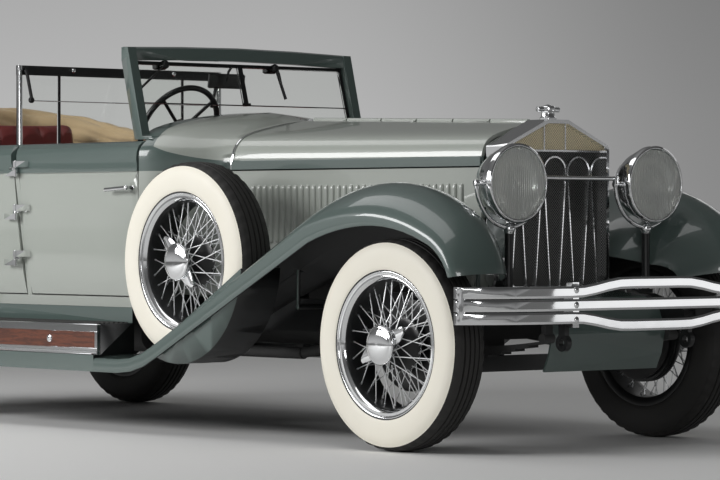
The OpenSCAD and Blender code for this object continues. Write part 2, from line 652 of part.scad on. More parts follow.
module cowl() color(light_grey) {
    difference() {
        both() sheet([for (i = [0:6]) [for (p = finer(cowl_section(i))) [cowl_at(i, p[1]), -p[0], p[1]]]],
            [for (i = [0:6]) [for (p = inset(finer(cowl_section(i)), -24)) [cowl_at(i, p[1]),
                -max(p[0], 0), p[1]]]]);
        both() block(-200, door_front_x + door_gap, -900, -body_half + wall + door_gap, 0,
            rail_z + door_gap);
    }
    difference() {
        front_plate(concat([for (p = cowl_section(0)) [-p[0] + 4, p[1] - 4]],
            [for (p = rev(cowl_section(0))) [p[0] - 4, p[1] - 4]]),
            bonnet_rear_x - 14, bonnet_rear_x - 2);
        block(bonnet_rear_x - 40, bonnet_rear_x + 40, -130, 130, 500, 620);
    }
    // Toe board.
    side_plate([[door_front_x + 20, floor_z + 6], [bonnet_rear_x - 14, 690], [bonnet_rear_x - 14, 706],
        [door_front_x + 20, floor_z + 24]], -430, 430);
    both() block(door_front_x + 20, bonnet_rear_x - 10, -rail_y - 20, -rail_y + 20, 588 + seat, 640);
    // Windscreen pillars and header.
    color(dark_green) {
        both() hull() {
            block(screen_x - 28, screen_x + 24, -screen_half + 2, -screen_half + 46, rail_z + 8,
                rail_z + 34);
            block(top_x - 2, top_x + 44, -screen_half, -screen_half + 44, screen_top - 60, screen_top - 2);
        }
        both() block(screen_x - 28, door_front_x + 34, -screen_half + 2, -screen_half + 46, rail_z + 8,
            rail_z + 22);
        bar([for (s = [[-1, 0], [-0.5, 10], [0, 14], [0.5, 10], [1, 0]]) let (y = screen_half * s[0],
            z = screen_top - 62 + s[1])
            [[top_x - 2, y, z], [top_x + 46, y, z], [top_x + 40, y, z + 54], [top_x + 14, y, z + 62],
                [top_x - 2, y, z + 58]]]);
    }
}

dash_half = body_half - wall;
module dashboard() color(timber) {
    front_plate([[-dash_half, 1120], [-dash_half, 1250], [80 - dash_half, 1300], [340 - dash_half, 1345],
        [dash_half - 340, 1345], [dash_half - 80, 1300], [dash_half, 1250], [dash_half, 1120]],
        door_front_x + 4, door_front_x + 26);
    color(black) {
        rod(steer_c + 12 * column, steer_c + 650 * column, column_r);
        let (e = steer_c + 632 * column) rod([e[0], e[1], e[2]],
            [bonnet_rear_x - 14 - seat, e[1], e[2]], 34);
    }
}

// Windscreen.
top_x = screen_plane(screen_top);
frame_z = 1300;
frame_h = (screen_top - 63 - frame_z) / cos(screen_lean);
frame_half = screen_half - 48;
module on_screen() translate([screen_plane(frame_z), 0, frame_z]) rotate([0, -screen_lean, 0]) children();
// Height of the joint between lower and upper panes, up the slope.
seam_v = frame_h * 0.445;
frame_w = 14;
strut_half = 12;
module windscreen_frame() color(black) on_screen() {
    for (v = [0, frame_h - frame_w]) block(-8, 8, -frame_half, frame_half, v, v + frame_w);
    for (y = [-frame_half, frame_half - frame_w]) block(-8, 8, y, y + frame_w, 0, frame_h);
    block(-4, 4, -frame_half + 2, frame_half - 2, seam_v - 2, seam_v + 2);
    block(-10, 8, -strut_half, strut_half, seam_v - 1, frame_h - 2);
    block(3 + seat, 11, -strut_half - 10, strut_half + 10, seam_v - 3, seam_v + 9);
}
module glass_panes() color([0.7, 0.8, 0.8, 0.35]) {
    on_screen() {
        block(-3, 3, -frame_half + frame_w + seat, frame_half - frame_w - seat, frame_w + seat,
            seam_v - 2 - seat);
        both() block(-3, 3, -frame_half + frame_w + seat, -strut_half - seat, seam_v + 2 + seat,
            frame_h - frame_w - seat);
    }
    outer = partition_half - 28;
    for (y = [[-outer, -strut_y - 8], [8 - strut_y, strut_y - 8], [strut_y + 8, outer]])
        block(partition_x - 4, partition_x + 4, y[0] + seat, y[1] - seat, partition_low + seat,
            partition_top - 44 - seat);
}

// Body shell.
side_outer = [[body_half - 28, sill_z], [body_half - 20, door_z], [body_half - 8, 680],
    [body_half - 2, 780], [body_half, 880],
    [body_half, belt_z], [belt_half, belt_z], [belt_half + 2, belt_z + 50],
        [belt_half - 1, belt_z + 85], [belt_half - 11, rail_z - 24],
    [belt_half - 29, rail_z - 7], [belt_half - 48, rail_z]];
side_wall = concat(side_outer, [[body_half - wall, rail_z], [body_half - wall, sill_z]]);
step_x = rear_x + 370;
floor_half = body_half - wall - 7;
function post_at(z) = post_x + post_lean * (belt_z - z) / (belt_z - door_z);

module wall_run(x0, x1) front_plate([for (p = side_wall) [-p[0], p[1]]], x0, x1);
module tail() {
    cx = tail_x + corner_r + belt_proud;
    cy = body_half - corner_r;
    wall_run(cx, door_rear_x - door_gap);
    translate([cx, -cy, 0]) rotate([0, 0, 180]) rotate_extrude(angle = 90, $fn = 96)
        polygon([for (p = side_wall) [p[0] - cy, p[1]]]);
}
// Rear floor with the corners of the tail.
floor_r = corner_r - wall + 22;
floor_right = concat([[step_x, -body_half + wall - 22]],
    [for (a = [0:10:90]) [tail_x + corner_r + belt_proud - floor_r * sin(a),
        corner_r - body_half - floor_r * cos(a)]]);
floor_plan = concat(floor_right, [for (p = rev(floor_right)) [p[0], -p[1]]]);
module body_tub() color(light_grey) {
    cx = tail_x + corner_r + belt_proud;
    cy = body_half - corner_r;
    difference() {
        union() {
            both() tail();
            translate([cx, cy + 1, 0]) rotate([90, 0, 0]) linear_extrude(2 * cy + 2)
                polygon([for (p = side_wall) [-(p[0] - cy), p[1]]]);
            block(step_x - 18, door_front_x + 6, -floor_half, floor_half, floor_z, floor_z + 22);
            both() block(step_x - 18, door_front_x + door_gap, -body_half + wall - 1, -floor_half + 30,
                sill_z + 10, floor_z - door_gap - 2);
            both() block(step_x - 18, door_front_x + door_gap, -floor_half, -floor_half + 30,
                sill_z + 10, floor_z + 1);
            block(step_x - 18, step_x, -floor_half, floor_half, floor_z, 722);
            translate([0, 0, 700]) linear_extrude(22) polygon(floor_plan);
            both() sill();
        }
        both() translate([rear_x, -wheel_y + 140, tyre_r]) rotate([90, 0, 0]) cylinder(r = tyre_r + 52,
            h = 400, $fn = 72);
        both() block(tail_x - 60, tail_x + 200, -rail_out - 8, -rail_in + 8, sill_z - 10, 610);
    }
    both() wheelhouse();
    both() centre_post();
}
module sill() difference() {
    wall_run(door_rear_x - door_gap - 10, door_front_x + door_gap);
    block(-4000, 4000, -900, 0, door_z - door_gap, 3000);
}
module wheelhouse() intersection() {
    translate([rear_x, -wheel_y + 150, tyre_r]) rotate([90, 0, 0]) difference() {
        cylinder(r = tyre_r + 62, h = 120, $fn = 72);
        translate([0, 0, 10]) cylinder(r = tyre_r + 52, h = 200, $fn = 72);
    }
    block(-4000, 4000, -body_half + 8, 0, sill_z, 2000);
}
module centre_post() {
    y0 = -body_half + wall;
    bar([for (z = [door_z - door_gap - 2, belt_z, rail_z]) let (x = post_at(z)) [[x - post_w / 2,
        -body_half + (z > belt_z ? 40 : z < belt_z ? 20 : 1), z],
        [x + post_w / 2, -body_half + (z > belt_z ? 40 : z < belt_z ? 20 : 1), z],
            [x + post_w / 2, y0, z], [x - post_w / 2, y0, z]]]);
    for (z = hinge_zs) {
        translate([hinge_x, -hinge_y, z - 36]) cylinder(r = 6, h = 72);
        let (p = post_at(z)) block(min(hinge_x - 6, p - 10), max(hinge_x + 6, p + 10), -hinge_y - 6,
            -hinge_y + 8, z - 5, z + 5);
        let (p = post_at(z)) block(p - 10, p + 10, -hinge_y, -body_half + 30, z - 5, z + 5);
    }
}

// Doors: slanted edge towards the centre post.
module door_cut(sign, off) {
    d = off;
    side_plate([[post_at(0) + d, 0], [post_at(2000) + d, 2000], [sign * 6000, 2000], [sign * 6000, 0]],
        -1200, 0);
}
module hinge_leaf(z, dir, up) difference() {
    union() {
        translate([hinge_x, -hinge_y, up ? z + 6 : z - 34]) cylinder(r = 11, h = 28);
        block(min(hinge_x, hinge_x + dir * 84), max(hinge_x, hinge_x + dir * 84), -hinge_y - 4,
            -hinge_y + 4, up ? z + 6 : z - 34, up ? z + 34 : z - 6);
        block(min(hinge_x + dir * 62, hinge_x + dir * 84), max(hinge_x + dir * 62, hinge_x + dir * 84),
            -hinge_y, -body_half + 30, up ? z + 6 : z - 34, up ? z + 34 : z - 6);
    }
    translate([hinge_x, -hinge_y, 0]) cylinder(r = 6 + pin_clear, h = 3000);
}
module door_panel(x0, x1) intersection() {
    wall_run(x0, x1);
    block(-4000, 4000, -900, 0, door_z, 3000);
}
module handle(x, dir) {
    translate([x, -body_half + 2, 1070]) rotate([90, 0, 0]) cylinder(r = 24, h = 10);
    rod([x, -body_half, 1070], [x, -body_half - 42, 1070], 11);
    rod([x, -body_half - 42, 1070], [x - dir * 170, -body_half - 34, 1062], 10);
    translate([x, -body_half - 42, 1070]) sphere(r = 12);
    translate([x - dir * 170, -body_half - 34, 1062]) sphere(r = 12);
}
module front_door() color(light_grey) {
    intersection() {
        door_panel(post_x - 200, door_front_x);
        door_cut(1, post_w / 2 + door_gap);
    }
    for (z = hinge_zs) hinge_leaf(z, 1, true);
    handle(door_front_x - 32, 1);
}
module rear_door() color(light_grey) {
    difference() {
        intersection() {
            door_panel(door_rear_x, post_x + 200);
            door_cut(-1, -post_w / 2 - door_gap);
        }
        translate([rear_x, 0, tyre_r]) rotate([90, 0, 0]) cylinder(r = rear_fender_r + 26, h = 1200,
            $fn = 96);
    }
    for (z = hinge_zs) hinge_leaf(z, -1, false);
    handle(door_rear_x + 40, -1);
}
module door_front_right() front_door();
module door_front_left() mirror([0, 1, 0]) front_door();
module door_rear_right() rear_door();
module door_rear_left() mirror([0, 1, 0]) rear_door();

partition_half = body_half - 96;
partition_top = screen_top - 50;
partition_low = rail_z - 13;
strut_y = partition_half - 239;
module partition() color(black) {
    both() rod([partition_x, 14 - partition_half, floor_z + 22 + seat],
        [partition_x, 14 - partition_half, partition_top], 14);
    both() rod([partition_x, -strut_y, partition_low - 24], [partition_x, -strut_y, partition_top - 10], 8);
    block(partition_x - 12, partition_x + 12, 4 - partition_half, partition_half - 4,
        partition_top - 44, partition_top);
    block(partition_x - 18, partition_x + 18, -partition_half, partition_half, floor_z + 22 + seat,
        partition_low);
}

// Seats and hood.
function seat_side(x, z, d, h) = [[x, z], [x + d, z], [x + d + 12, z + 60], [x + d, z + 200],
    [x + d - 40, z + 222], [x + 150, z + 205],
    [x + 120, z + 240], [x + 80, z + h - 60], [x + 52, z + h - 8], [x + 20, z + h],
        [x - 10, z + h - 20], [x - 20, z + h - 60]];
seat_half = body_half - 100;
module front_seat() color(leather) {
    side_plate(seat_side(partition_x + 50, floor_z + 150, 540, 560), -seat_half, seat_half);
    block(partition_x + 70, partition_x + 560, 10 - seat_half, seat_half - 10, floor_z + 22 + seat,
        floor_z + 152);
}
rear_seat_half = body_half - 195;
module rear_seat() color(leather) {
    side_plate(seat_side(rear_x - 255, floor_z + 160, 580, 690), -rear_seat_half, rear_seat_half);
    block(rear_x - 200, rear_x + 310, 10 - rear_seat_half, rear_seat_half - 10, 722 + seat, floor_z + 162);
}

// The folded top lies along the body's upper edge.
top_cx = tail_x + corner_r + belt_proud;
top_cy = body_half - corner_r;
top_r = corner_r - 50;
top_right = concat([for (x = [140, 60, -40, -150]) [rear_x + x, -top_cy - top_r]],
    [for (a = [0:15:90]) [top_cx - top_r * sin(a), -top_cy - top_r * cos(a)]], [[top_cx - top_r, -150]]);
top_path = concat(top_right, [[top_cx - top_r, 0]], [for (p = rev(top_right)) [p[0], -p[1]]]);
module folded_top() color(canvas) {
    n = len(top_path);
    bar([for (i = [0:n - 1]) let (p = top_path[i], a = top_path[max(i - 1, 0)],
        b = top_path[min(i + 1, n - 1)], d = unit(b - a),
        nrm = [d[1], -d[0]], t = i / (n - 1), k = sin(180 * t), w = 42 + 38 * k, h = 48 + 74 * k,
            z = rail_z + h + seat)
        [for (q = [0:30:330]) [p[0] + nrm[0] * w * cos(q), p[1] + nrm[1] * w * cos(q), z + h * sin(q)]]]);
}

// Fenders: sections across a spine that runs in the side view. The spine is an arc over
// the wheel, a straight slope tangent to it and a reversed arc that ends flat at the board.
fender_z0 = fender_top - fender_r;
fender_x0 = front_x - 60;
low_r = 500;
reach = [fender_x0 - flat_x, board_z + low_r - fender_z0];
fender_slope = asin((fender_r + low_r) / norm(reach)) - atan2(reach[1], reach[0]);
line_x = fender_x0 - fender_r * sin(fender_slope);
line_drop = fender_z0 + fender_r * cos(fender_slope);
line_end_x = flat_x + low_r * sin(fender_slope);
low_z = board_z + low_r * (1 - cos(fender_slope));
function fender_line(x) = line_drop - (line_x - x) * tan(fender_slope);
// The nose curls down on a smaller arc.
nose_r = 350;
nose_a = 32;
tip_a = 80;
nose_x = fender_x0 + (fender_r - nose_r) * sin(nose_a);
nose_z = fender_z0 + (fender_r - nose_r) * cos(nose_a);
// Spine station: x, z, slope, inner drop, shoulder drop, skirt.
front_spine = concat(
    [for (i = [0:5]) let (u = i / 6, a = lerp(tip_a, nose_a, u))
        [nose_x + nose_r * sin(a), nose_z + nose_r * cos(a), a, lerp(190, 250, u), lerp(60, 90, u),
            lerp(28, 44, u)]],
    [for (i = [0:12]) let (u = i / 12, a = lerp(nose_a, -fender_slope, u), k = abs(2 * u - 1))
        [fender_x0 + fender_r * sin(a), fender_z0 + fender_r * cos(a), a,
            lerp(290, u < 0.5 ? 250 : 220, k * k), lerp(112, u < 0.5 ? 90 : 70, k * k), lerp(44, 84, u)]],
    [for (t = [0.2:0.2:1]) let (k = 1 - t)
        [lerp(line_x, line_end_x, t), lerp(line_drop, low_z, t), -fender_slope,
            lerp(8, 220, k * k), lerp(16, 70, k), lerp(58, 84, k)]],
    [for (u = [0.66, 0.33, 0]) let (a = fender_slope * u)
        [flat_x + low_r * sin(a), board_z + low_r * (1 - cos(a)), -a, 6, 14, board_z - apron_z - 14]],
    [[board_front_x, board_z, 0, 6, 14, board_z - apron_z - 14]]);
function fender_in(x) = x > front_x + 150 ? lerp(bonnet_front_half + 14, 500,
    min(1, (x - front_x - 150) / 370)) : x > bonnet_front_x ? bonnet_front_half + 14 : x > bonnet_rear_x
    ? bonnet_half(x) + 14 : bonnet_rear_half + 14;
function fender_curve(s) = let (yi = fender_in(s[0]), yc = fender_out - 180, yo = fender_out)
    [[yi, -s[3]], [lerp(yi, yc, 0.25), -s[3] * 0.62], [lerp(yi, yc, 0.5), -s[3] * 0.28],
        [lerp(yi, yc, 0.75), -s[3] * 0.07],
        [yc, 0], [lerp(yc, yo, 0.35), -s[4] * 0.16], [lerp(yc, yo, 0.65), -s[4] * 0.46],
            [lerp(yc, yo, 0.88), -s[4] * 0.82],
        [yo - 4, -s[4] * 1.1], [yo, -s[4] * 1.1 - 16], [yo, -s[4] - s[5]]];
function on_spine(s, p) = [s[0] + p[1] * sin(s[2]), -p[0], s[1] + p[1] * cos(s[2])];
module fender_sheet(spine, curve) sheet([for (s = spine) [for (p = finer(curve(s))) on_spine(s, p)]],
    [for (s = spine) [for (p = inset(finer(curve(s)), -fender_t)) on_spine(s, p)]]);

well_r = tyre_r + 0.4;
well_half = tyre_w / 2 + 8;
function inner_at(i, j) = let (s = front_spine[i]) on_spine(s, inset(fender_curve(s), -fender_t / 2)[j]);
module front_fender() color(dark_green) {
    difference() {
        fender_sheet(front_spine, function (s) fender_curve(s));
        on_axle(spare_x, -spare_y + well_half, spare_z) cylinder(r = well_r, h = 2 * well_half);
    }
    intersection() {
        on_axle(spare_x, -spare_y + well_half + 6, spare_z) difference() {
            cylinder(r = well_r + 8, h = 2 * well_half + 12);
            translate([0, 0, 6]) cylinder(r = well_r, h = 2 * well_half);
        }
        side_plate([[line_x, fender_line(line_x) - 20], [flat_x - 300, fender_line(flat_x - 300) - 20],
            [flat_x - 300, 0], [line_x, 0]], -1200, 0);
    }
    // Stays from the rails.
    let (q = inner_at(20, 2)) {
        rod([q[0], -rail_out - seat, 560], [q[0], q[1] - 6, 560], 11);
        rod([q[0], q[1], 550], q, 8);
    }
    let (q = lerp(inner_at(10, 0), inner_at(10, 1), 0.3)) rod([q[0], q[1], 625 + seat], q, 9);
}
module front_fenders() both() front_fender();

rear_fender_r = 560;
// Body side in plan and height, to seat the rear fenders on it.
side_table = [for (p = side_outer) if (p[1] <= belt_z && p[0] <= body_half) [p[1], p[0]]];
function body_side(x, z) = let (w = lookup(z, side_table), d = max(0, top_cx - x - 14))
    d == 0 ? w : top_cy + 3 + sqrt(pow(w - top_cy, 2) - d * d);
rear_spine = concat([for (z = [board_z + seat, 372, 410]) [rear_x + rear_fender_r, z, 90, 0, 30, 60]],
    [for (a = [84:-10.2:-100]) let (r = rear_fender_r + (a < 0 ? 0.5 * -a : 0), k = cos(min(90, abs(a))))
        [rear_x + r * sin(a), tyre_r + r * cos(a), a, 0, lerp(30, 110, k), lerp(60, 80, k)]]);
function rear_curve(s) = let (yi = body_side(s[0], s[1]) + 0.3, yc = fender_out - 145, yo = fender_out)
    [[yi, -4], [lerp(yi, yc, 0.5), -2], [yc, 0], [lerp(yc, yo, 0.35), -s[4] * 0.16],
        [lerp(yc, yo, 0.65), -s[4] * 0.46], [lerp(yc, yo, 0.88), -s[4] * 0.82],
        [yo - 4, -s[4] * 1.1], [yo, -s[4] * 1.1 - 16], [yo, -s[4] - s[5]]];
module rear_fender() color(dark_green) {
    fender_sheet(rear_spine, function (s) rear_curve(s));
    translate([rear_x - 562, -fender_out + 95, 640]) rotate([0, 90, 0]) cylinder(r = 16, h = 70);
}
module rear_fenders() both() rear_fender();

module running_boards() color(dark_green) both() {
    front_plate([[-fender_out, apron_z], [-fender_out, board_z], [-body_half + 40, board_z],
        [-body_half + 40, board_z - 14],
        [-fender_out + 8, board_z - 14], [-fender_out + 8, apron_z]], board_rear_x, board_front_x - seat);
    block(rear_x + rear_fender_r + 6, board_front_x - 1, -fender_out + 40, -body_half + 40,
        board_z - 0.5, 471);
    block(rear_x + rear_fender_r + 6, board_front_x - 1, -body_half + 30, -body_half + 40, 460,
        sill_z - seat);
}
module step_fascias() color(timber) both() block(rear_x + rear_fender_r + 26, board_front_x - 16,
    -fender_out + 28, -fender_out + 40, 361, 438);

// Bumpers of three bars.
function bumper_line(lift) = [for (i = [-14:14]) let (y = bumper_half * i / 14, u = abs(i) / 14,
    v = max(0, (abs(y) - clamp_y) / (bumper_half - clamp_y)), w = max(0, 1 - abs(y) / clamp_y))
    [-20 * u - 150 * v * v * v, y, bumper_z + lift * (50 + 34 * ease(w * 1.6))]];
module bumper_bar(line) bar([for (p = line) [[p[0] - bar_t, p[1], p[2] - bar_h / 2],
    [p[0] - bar_t * 0.3, p[1], p[2] - bar_h / 2], [p[0], p[1], p[2] - bar_h * 0.3],
    [p[0], p[1], p[2] + bar_h * 0.3], [p[0] - bar_t * 0.3, p[1], p[2] + bar_h / 2],
        [p[0] - bar_t, p[1], p[2] + bar_h / 2]]]);
module bumper() color(chrome) {
    for (l = [-1, 0, 1]) bumper_bar(bumper_line(l));
    both() {
        block(-50, -14, -clamp_y - 17, -clamp_y + 17, bumper_z - 88, bumper_z + 88);
        block(-62, -40, -clamp_y - 40, -clamp_y + 40, bumper_z - 30, bumper_z + 30);
    }
    both() block(-172, -152, -bumper_half + 8, -bumper_half + 30, bumper_z - 70, bumper_z + 70);
}
module front_bumper() translate([nose_face, 0, 0]) bumper();
module rear_bumper() translate([tail_face, 0, 0]) mirror([1, 0, 0]) bumper();

// Lamps.
module headlamp() translate([lamp_x, -lamp_y, lamp_z]) {
    rotate([0, 90, 0]) rotate_extrude($fn = 72) polygon([[0, -205], [30, -203], [62, -190], [86, -168],
        [112, -134], [136, -90], [150, -50], [154, -30],
        [lamp_r, -26], [lamp_r, -2], [lamp_r - 8, 2], [lamp_r - 14, 2], [lamp_r - 14, -40], [0, -120]]);
    translate([-60, 0, 0]) rotate([90, 0, 90]) rotate([0, 0, 180]) rotate_extrude(angle = 180,
        $fn = 64) translate([lamp_r + 16, 0]) circle(r = 9, $fn = 24);
    for (s = [-1, 1]) rod([-60, s * 140, 0], [-60, s * (lamp_r + 24), 0], 13);
    rod([-60, 0, -lamp_r - 12], [-60, 0, lamp_foot + 10 - lamp_z], 17);
    block(-82, -38, -20, lamp_y - rail_y + 20, lamp_foot + seat - lamp_z, lamp_foot + 16 - lamp_z);
    translate([-60, 0, -lamp_r - 22]) sphere(r = 26);
}
module headlamps() color(chrome) {
    both() headlamp();
    rod([lamp_x - 60, -lamp_y + lamp_r, lamp_z + 24], [lamp_x - 60, lamp_y - lamp_r, lamp_z + 24], 9);
    both() rod([lamp_x - 60, -lamp_y + lamp_r + 16, lamp_z - 10],
        [lamp_x - 60, -lamp_y + lamp_r + 16, lamp_z + 34], 12);
}
module lamp_lenses() color(cream) both() translate([lamp_x, -lamp_y, lamp_z]) rotate([0, 90,
    0]) rotate_extrude($fn = 72)
    polygon([[0, 8], [70, 4], [lamp_r - 14.3, -6], [lamp_r - 14.3, -18], [0, -18]]);

module tail_lamps() color(chrome) both() translate([rear_x - 562 - seat, -fender_out + 95,
    640]) rotate([0, -90, 0])
    rotate_extrude($fn = 48) polygon([[0, 0], [18, 0], [34, 16], [42, 34], [42, 46], [36, 50], [0, 54]]);

module front_apron() color(dark_green) side_plate([[rad_x - 20, rad_low_z - seat], [front_x + 340, 612],
    [front_x + 420, 560], [front_x + 450, 470], [front_x + 430, 380],
    [front_x + 400, 318], [front_x + 392, 322], [front_x + 421, 382], [front_x + 441, 470],
        [front_x + 412, 556], [front_x + 336, 604], [rad_x - 20, rad_low_z - 8]], -rail_in + seat,
        rail_in - seat);

// Steering wheel on its column.
module steering_wheel() color(black) translate(steer_c) rotate([0, -steer_tilt, 0]) {
    rotate_extrude($fn = 72) translate([steer_r, 0]) circle(r = 13, $fn = 24);
    for (a = [45:90:315]) rod([36 * cos(a), 36 * sin(a), -14], [steer_r * cos(a), steer_r * sin(a), 0], 8);
    difference() {
        translate([0, 0, -34]) cylinder(r = 42, h = 44);
        translate([0, 0, -60]) cylinder(r = column_r + pin_clear, h = 50);
    }
}

chassis_frame();
cross_members();
engine();
front_axle();
rear_axle();
leaf_springs();
exhaust();
fuel_tank();
knuckle_right();
knuckle_left();
tie_rod();
wheel_front_right();
wheel_front_left();
wheel_rear_right();
wheel_rear_left();
tyre_front_right();
tyre_front_left();
tyre_rear_right();
tyre_rear_left();
spare_wheels();
spare_tyres();
radiator_shell();
radiator_grille();
radiator_cap();
bonnet_rod();
bonnet_right();
bonnet_left();
bonnet_sides();
cowl();
dashboard();
windscreen_frame();
glass_panes();
body_tub();
door_front_right();
door_front_left();
door_rear_right();
door_rear_left();
partition();
front_seat();
rear_seat();
folded_top();
front_fenders();
rear_fenders();
running_boards();
step_fascias();
front_bumper();
rear_bumper();
headlamps();
lamp_lenses();
front_apron();
steering_wheel();
tail_lamps();
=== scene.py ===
"""Open touring car of about 1930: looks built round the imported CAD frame."""

from __future__ import annotations

import json
import logging
import math
from dataclasses import dataclass
from enum import Enum
from typing import Callable, Mapping, Sequence, Union

import bmesh
import bpy
import numpy as np
from mathutils import Matrix, Vector

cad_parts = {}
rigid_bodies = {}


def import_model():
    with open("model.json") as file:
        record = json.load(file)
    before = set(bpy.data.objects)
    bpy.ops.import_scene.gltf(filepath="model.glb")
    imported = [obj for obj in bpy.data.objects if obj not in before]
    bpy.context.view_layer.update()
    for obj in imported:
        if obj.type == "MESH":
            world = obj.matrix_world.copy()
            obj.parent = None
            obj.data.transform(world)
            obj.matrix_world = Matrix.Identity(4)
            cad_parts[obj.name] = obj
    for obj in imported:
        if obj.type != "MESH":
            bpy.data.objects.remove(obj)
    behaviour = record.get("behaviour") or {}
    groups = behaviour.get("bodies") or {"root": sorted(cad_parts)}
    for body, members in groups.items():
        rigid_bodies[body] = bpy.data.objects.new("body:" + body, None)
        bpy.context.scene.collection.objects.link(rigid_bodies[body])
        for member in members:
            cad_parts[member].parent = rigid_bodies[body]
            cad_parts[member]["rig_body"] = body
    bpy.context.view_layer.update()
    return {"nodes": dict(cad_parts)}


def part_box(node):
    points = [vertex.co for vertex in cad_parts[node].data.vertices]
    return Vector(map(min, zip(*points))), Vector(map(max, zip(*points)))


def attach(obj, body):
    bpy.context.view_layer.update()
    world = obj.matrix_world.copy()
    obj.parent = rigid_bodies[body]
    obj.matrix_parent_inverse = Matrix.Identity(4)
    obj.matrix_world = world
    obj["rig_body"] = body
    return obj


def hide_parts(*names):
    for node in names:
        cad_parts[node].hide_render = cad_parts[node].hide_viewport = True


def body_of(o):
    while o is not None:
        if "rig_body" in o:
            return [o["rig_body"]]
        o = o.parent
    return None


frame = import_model()

log = logging.getLogger("car")
Colour = tuple[float, float, float]
Point = Sequence[float]
Profile = Sequence[tuple[float, float]]
Look = dict[str, object]
Mat = bpy.types.Material
Obj = bpy.types.Object


def srgb(*values: int) -> Colour:
    """Linear colour from the eight-bit values of a colour chart."""
    shares = [v / 255 for v in values]
    return tuple(c / 12.92 if c <= 0.04045 else ((c + 0.055) / 1.055) ** 2.4 for c in shares)


def tint(colour: Colour, by: float, lift: float = 0.0) -> Colour:
    """A colour made darker or lighter, at most 1."""
    return tuple(min(1.0, c * by + lift) for c in colour)


def operator(operation: str, swapped: bool = False) -> Callable[[Sock, Value], Sock]:
    """Makes a method of Sock that adds one Math node.

    Args:
        operation: Blender's name of it.
        swapped: whether the Sock is the second value.

    Returns:
        The method.
    """
    def method(self: Sock, other: Value) -> Sock:
        """Works out the operation on both values."""
        return self.net.math(operation, *((other, self) if swapped else (self, other)))
    return method


class Sock:
    """A shader value. Arithmetic on it adds the Math nodes that work it out."""

    __add__ = __radd__ = operator("ADD")
    __sub__, __rsub__ = operator("SUBTRACT"), operator("SUBTRACT", True)
    __mul__ = __rmul__ = operator("MULTIPLY")
    __truediv__ = operator("DIVIDE")
    __pow__ = operator("POWER")

    def __init__(self, net: Net, socket: bpy.types.NodeSocket) -> None:
        """Keeps the net and the output socket."""
        self.net, self.socket = net, socket

    def __abs__(self) -> Sock:
        """Size without sign."""
        return self.net.math("ABSOLUTE", self)

    def call(self, operation: str, other: Value = 0.0) -> Sock:
        """Any other Math operation, by Blender's name of it."""
        return self.net.math(operation, self, other)

    def above(self, edge: Value, soft: float = 0.001) -> Sock:
        """Mask: 0 below an edge and 1 above it, over a step of twice soft."""
        return self.net.node("ShaderNodeMath", {"operation": "MULTIPLY_ADD", "use_clamp": True},
                             {0: self - edge, 1: 0.5 / soft, 2: 0.5})


Value = Union[Sock, float]


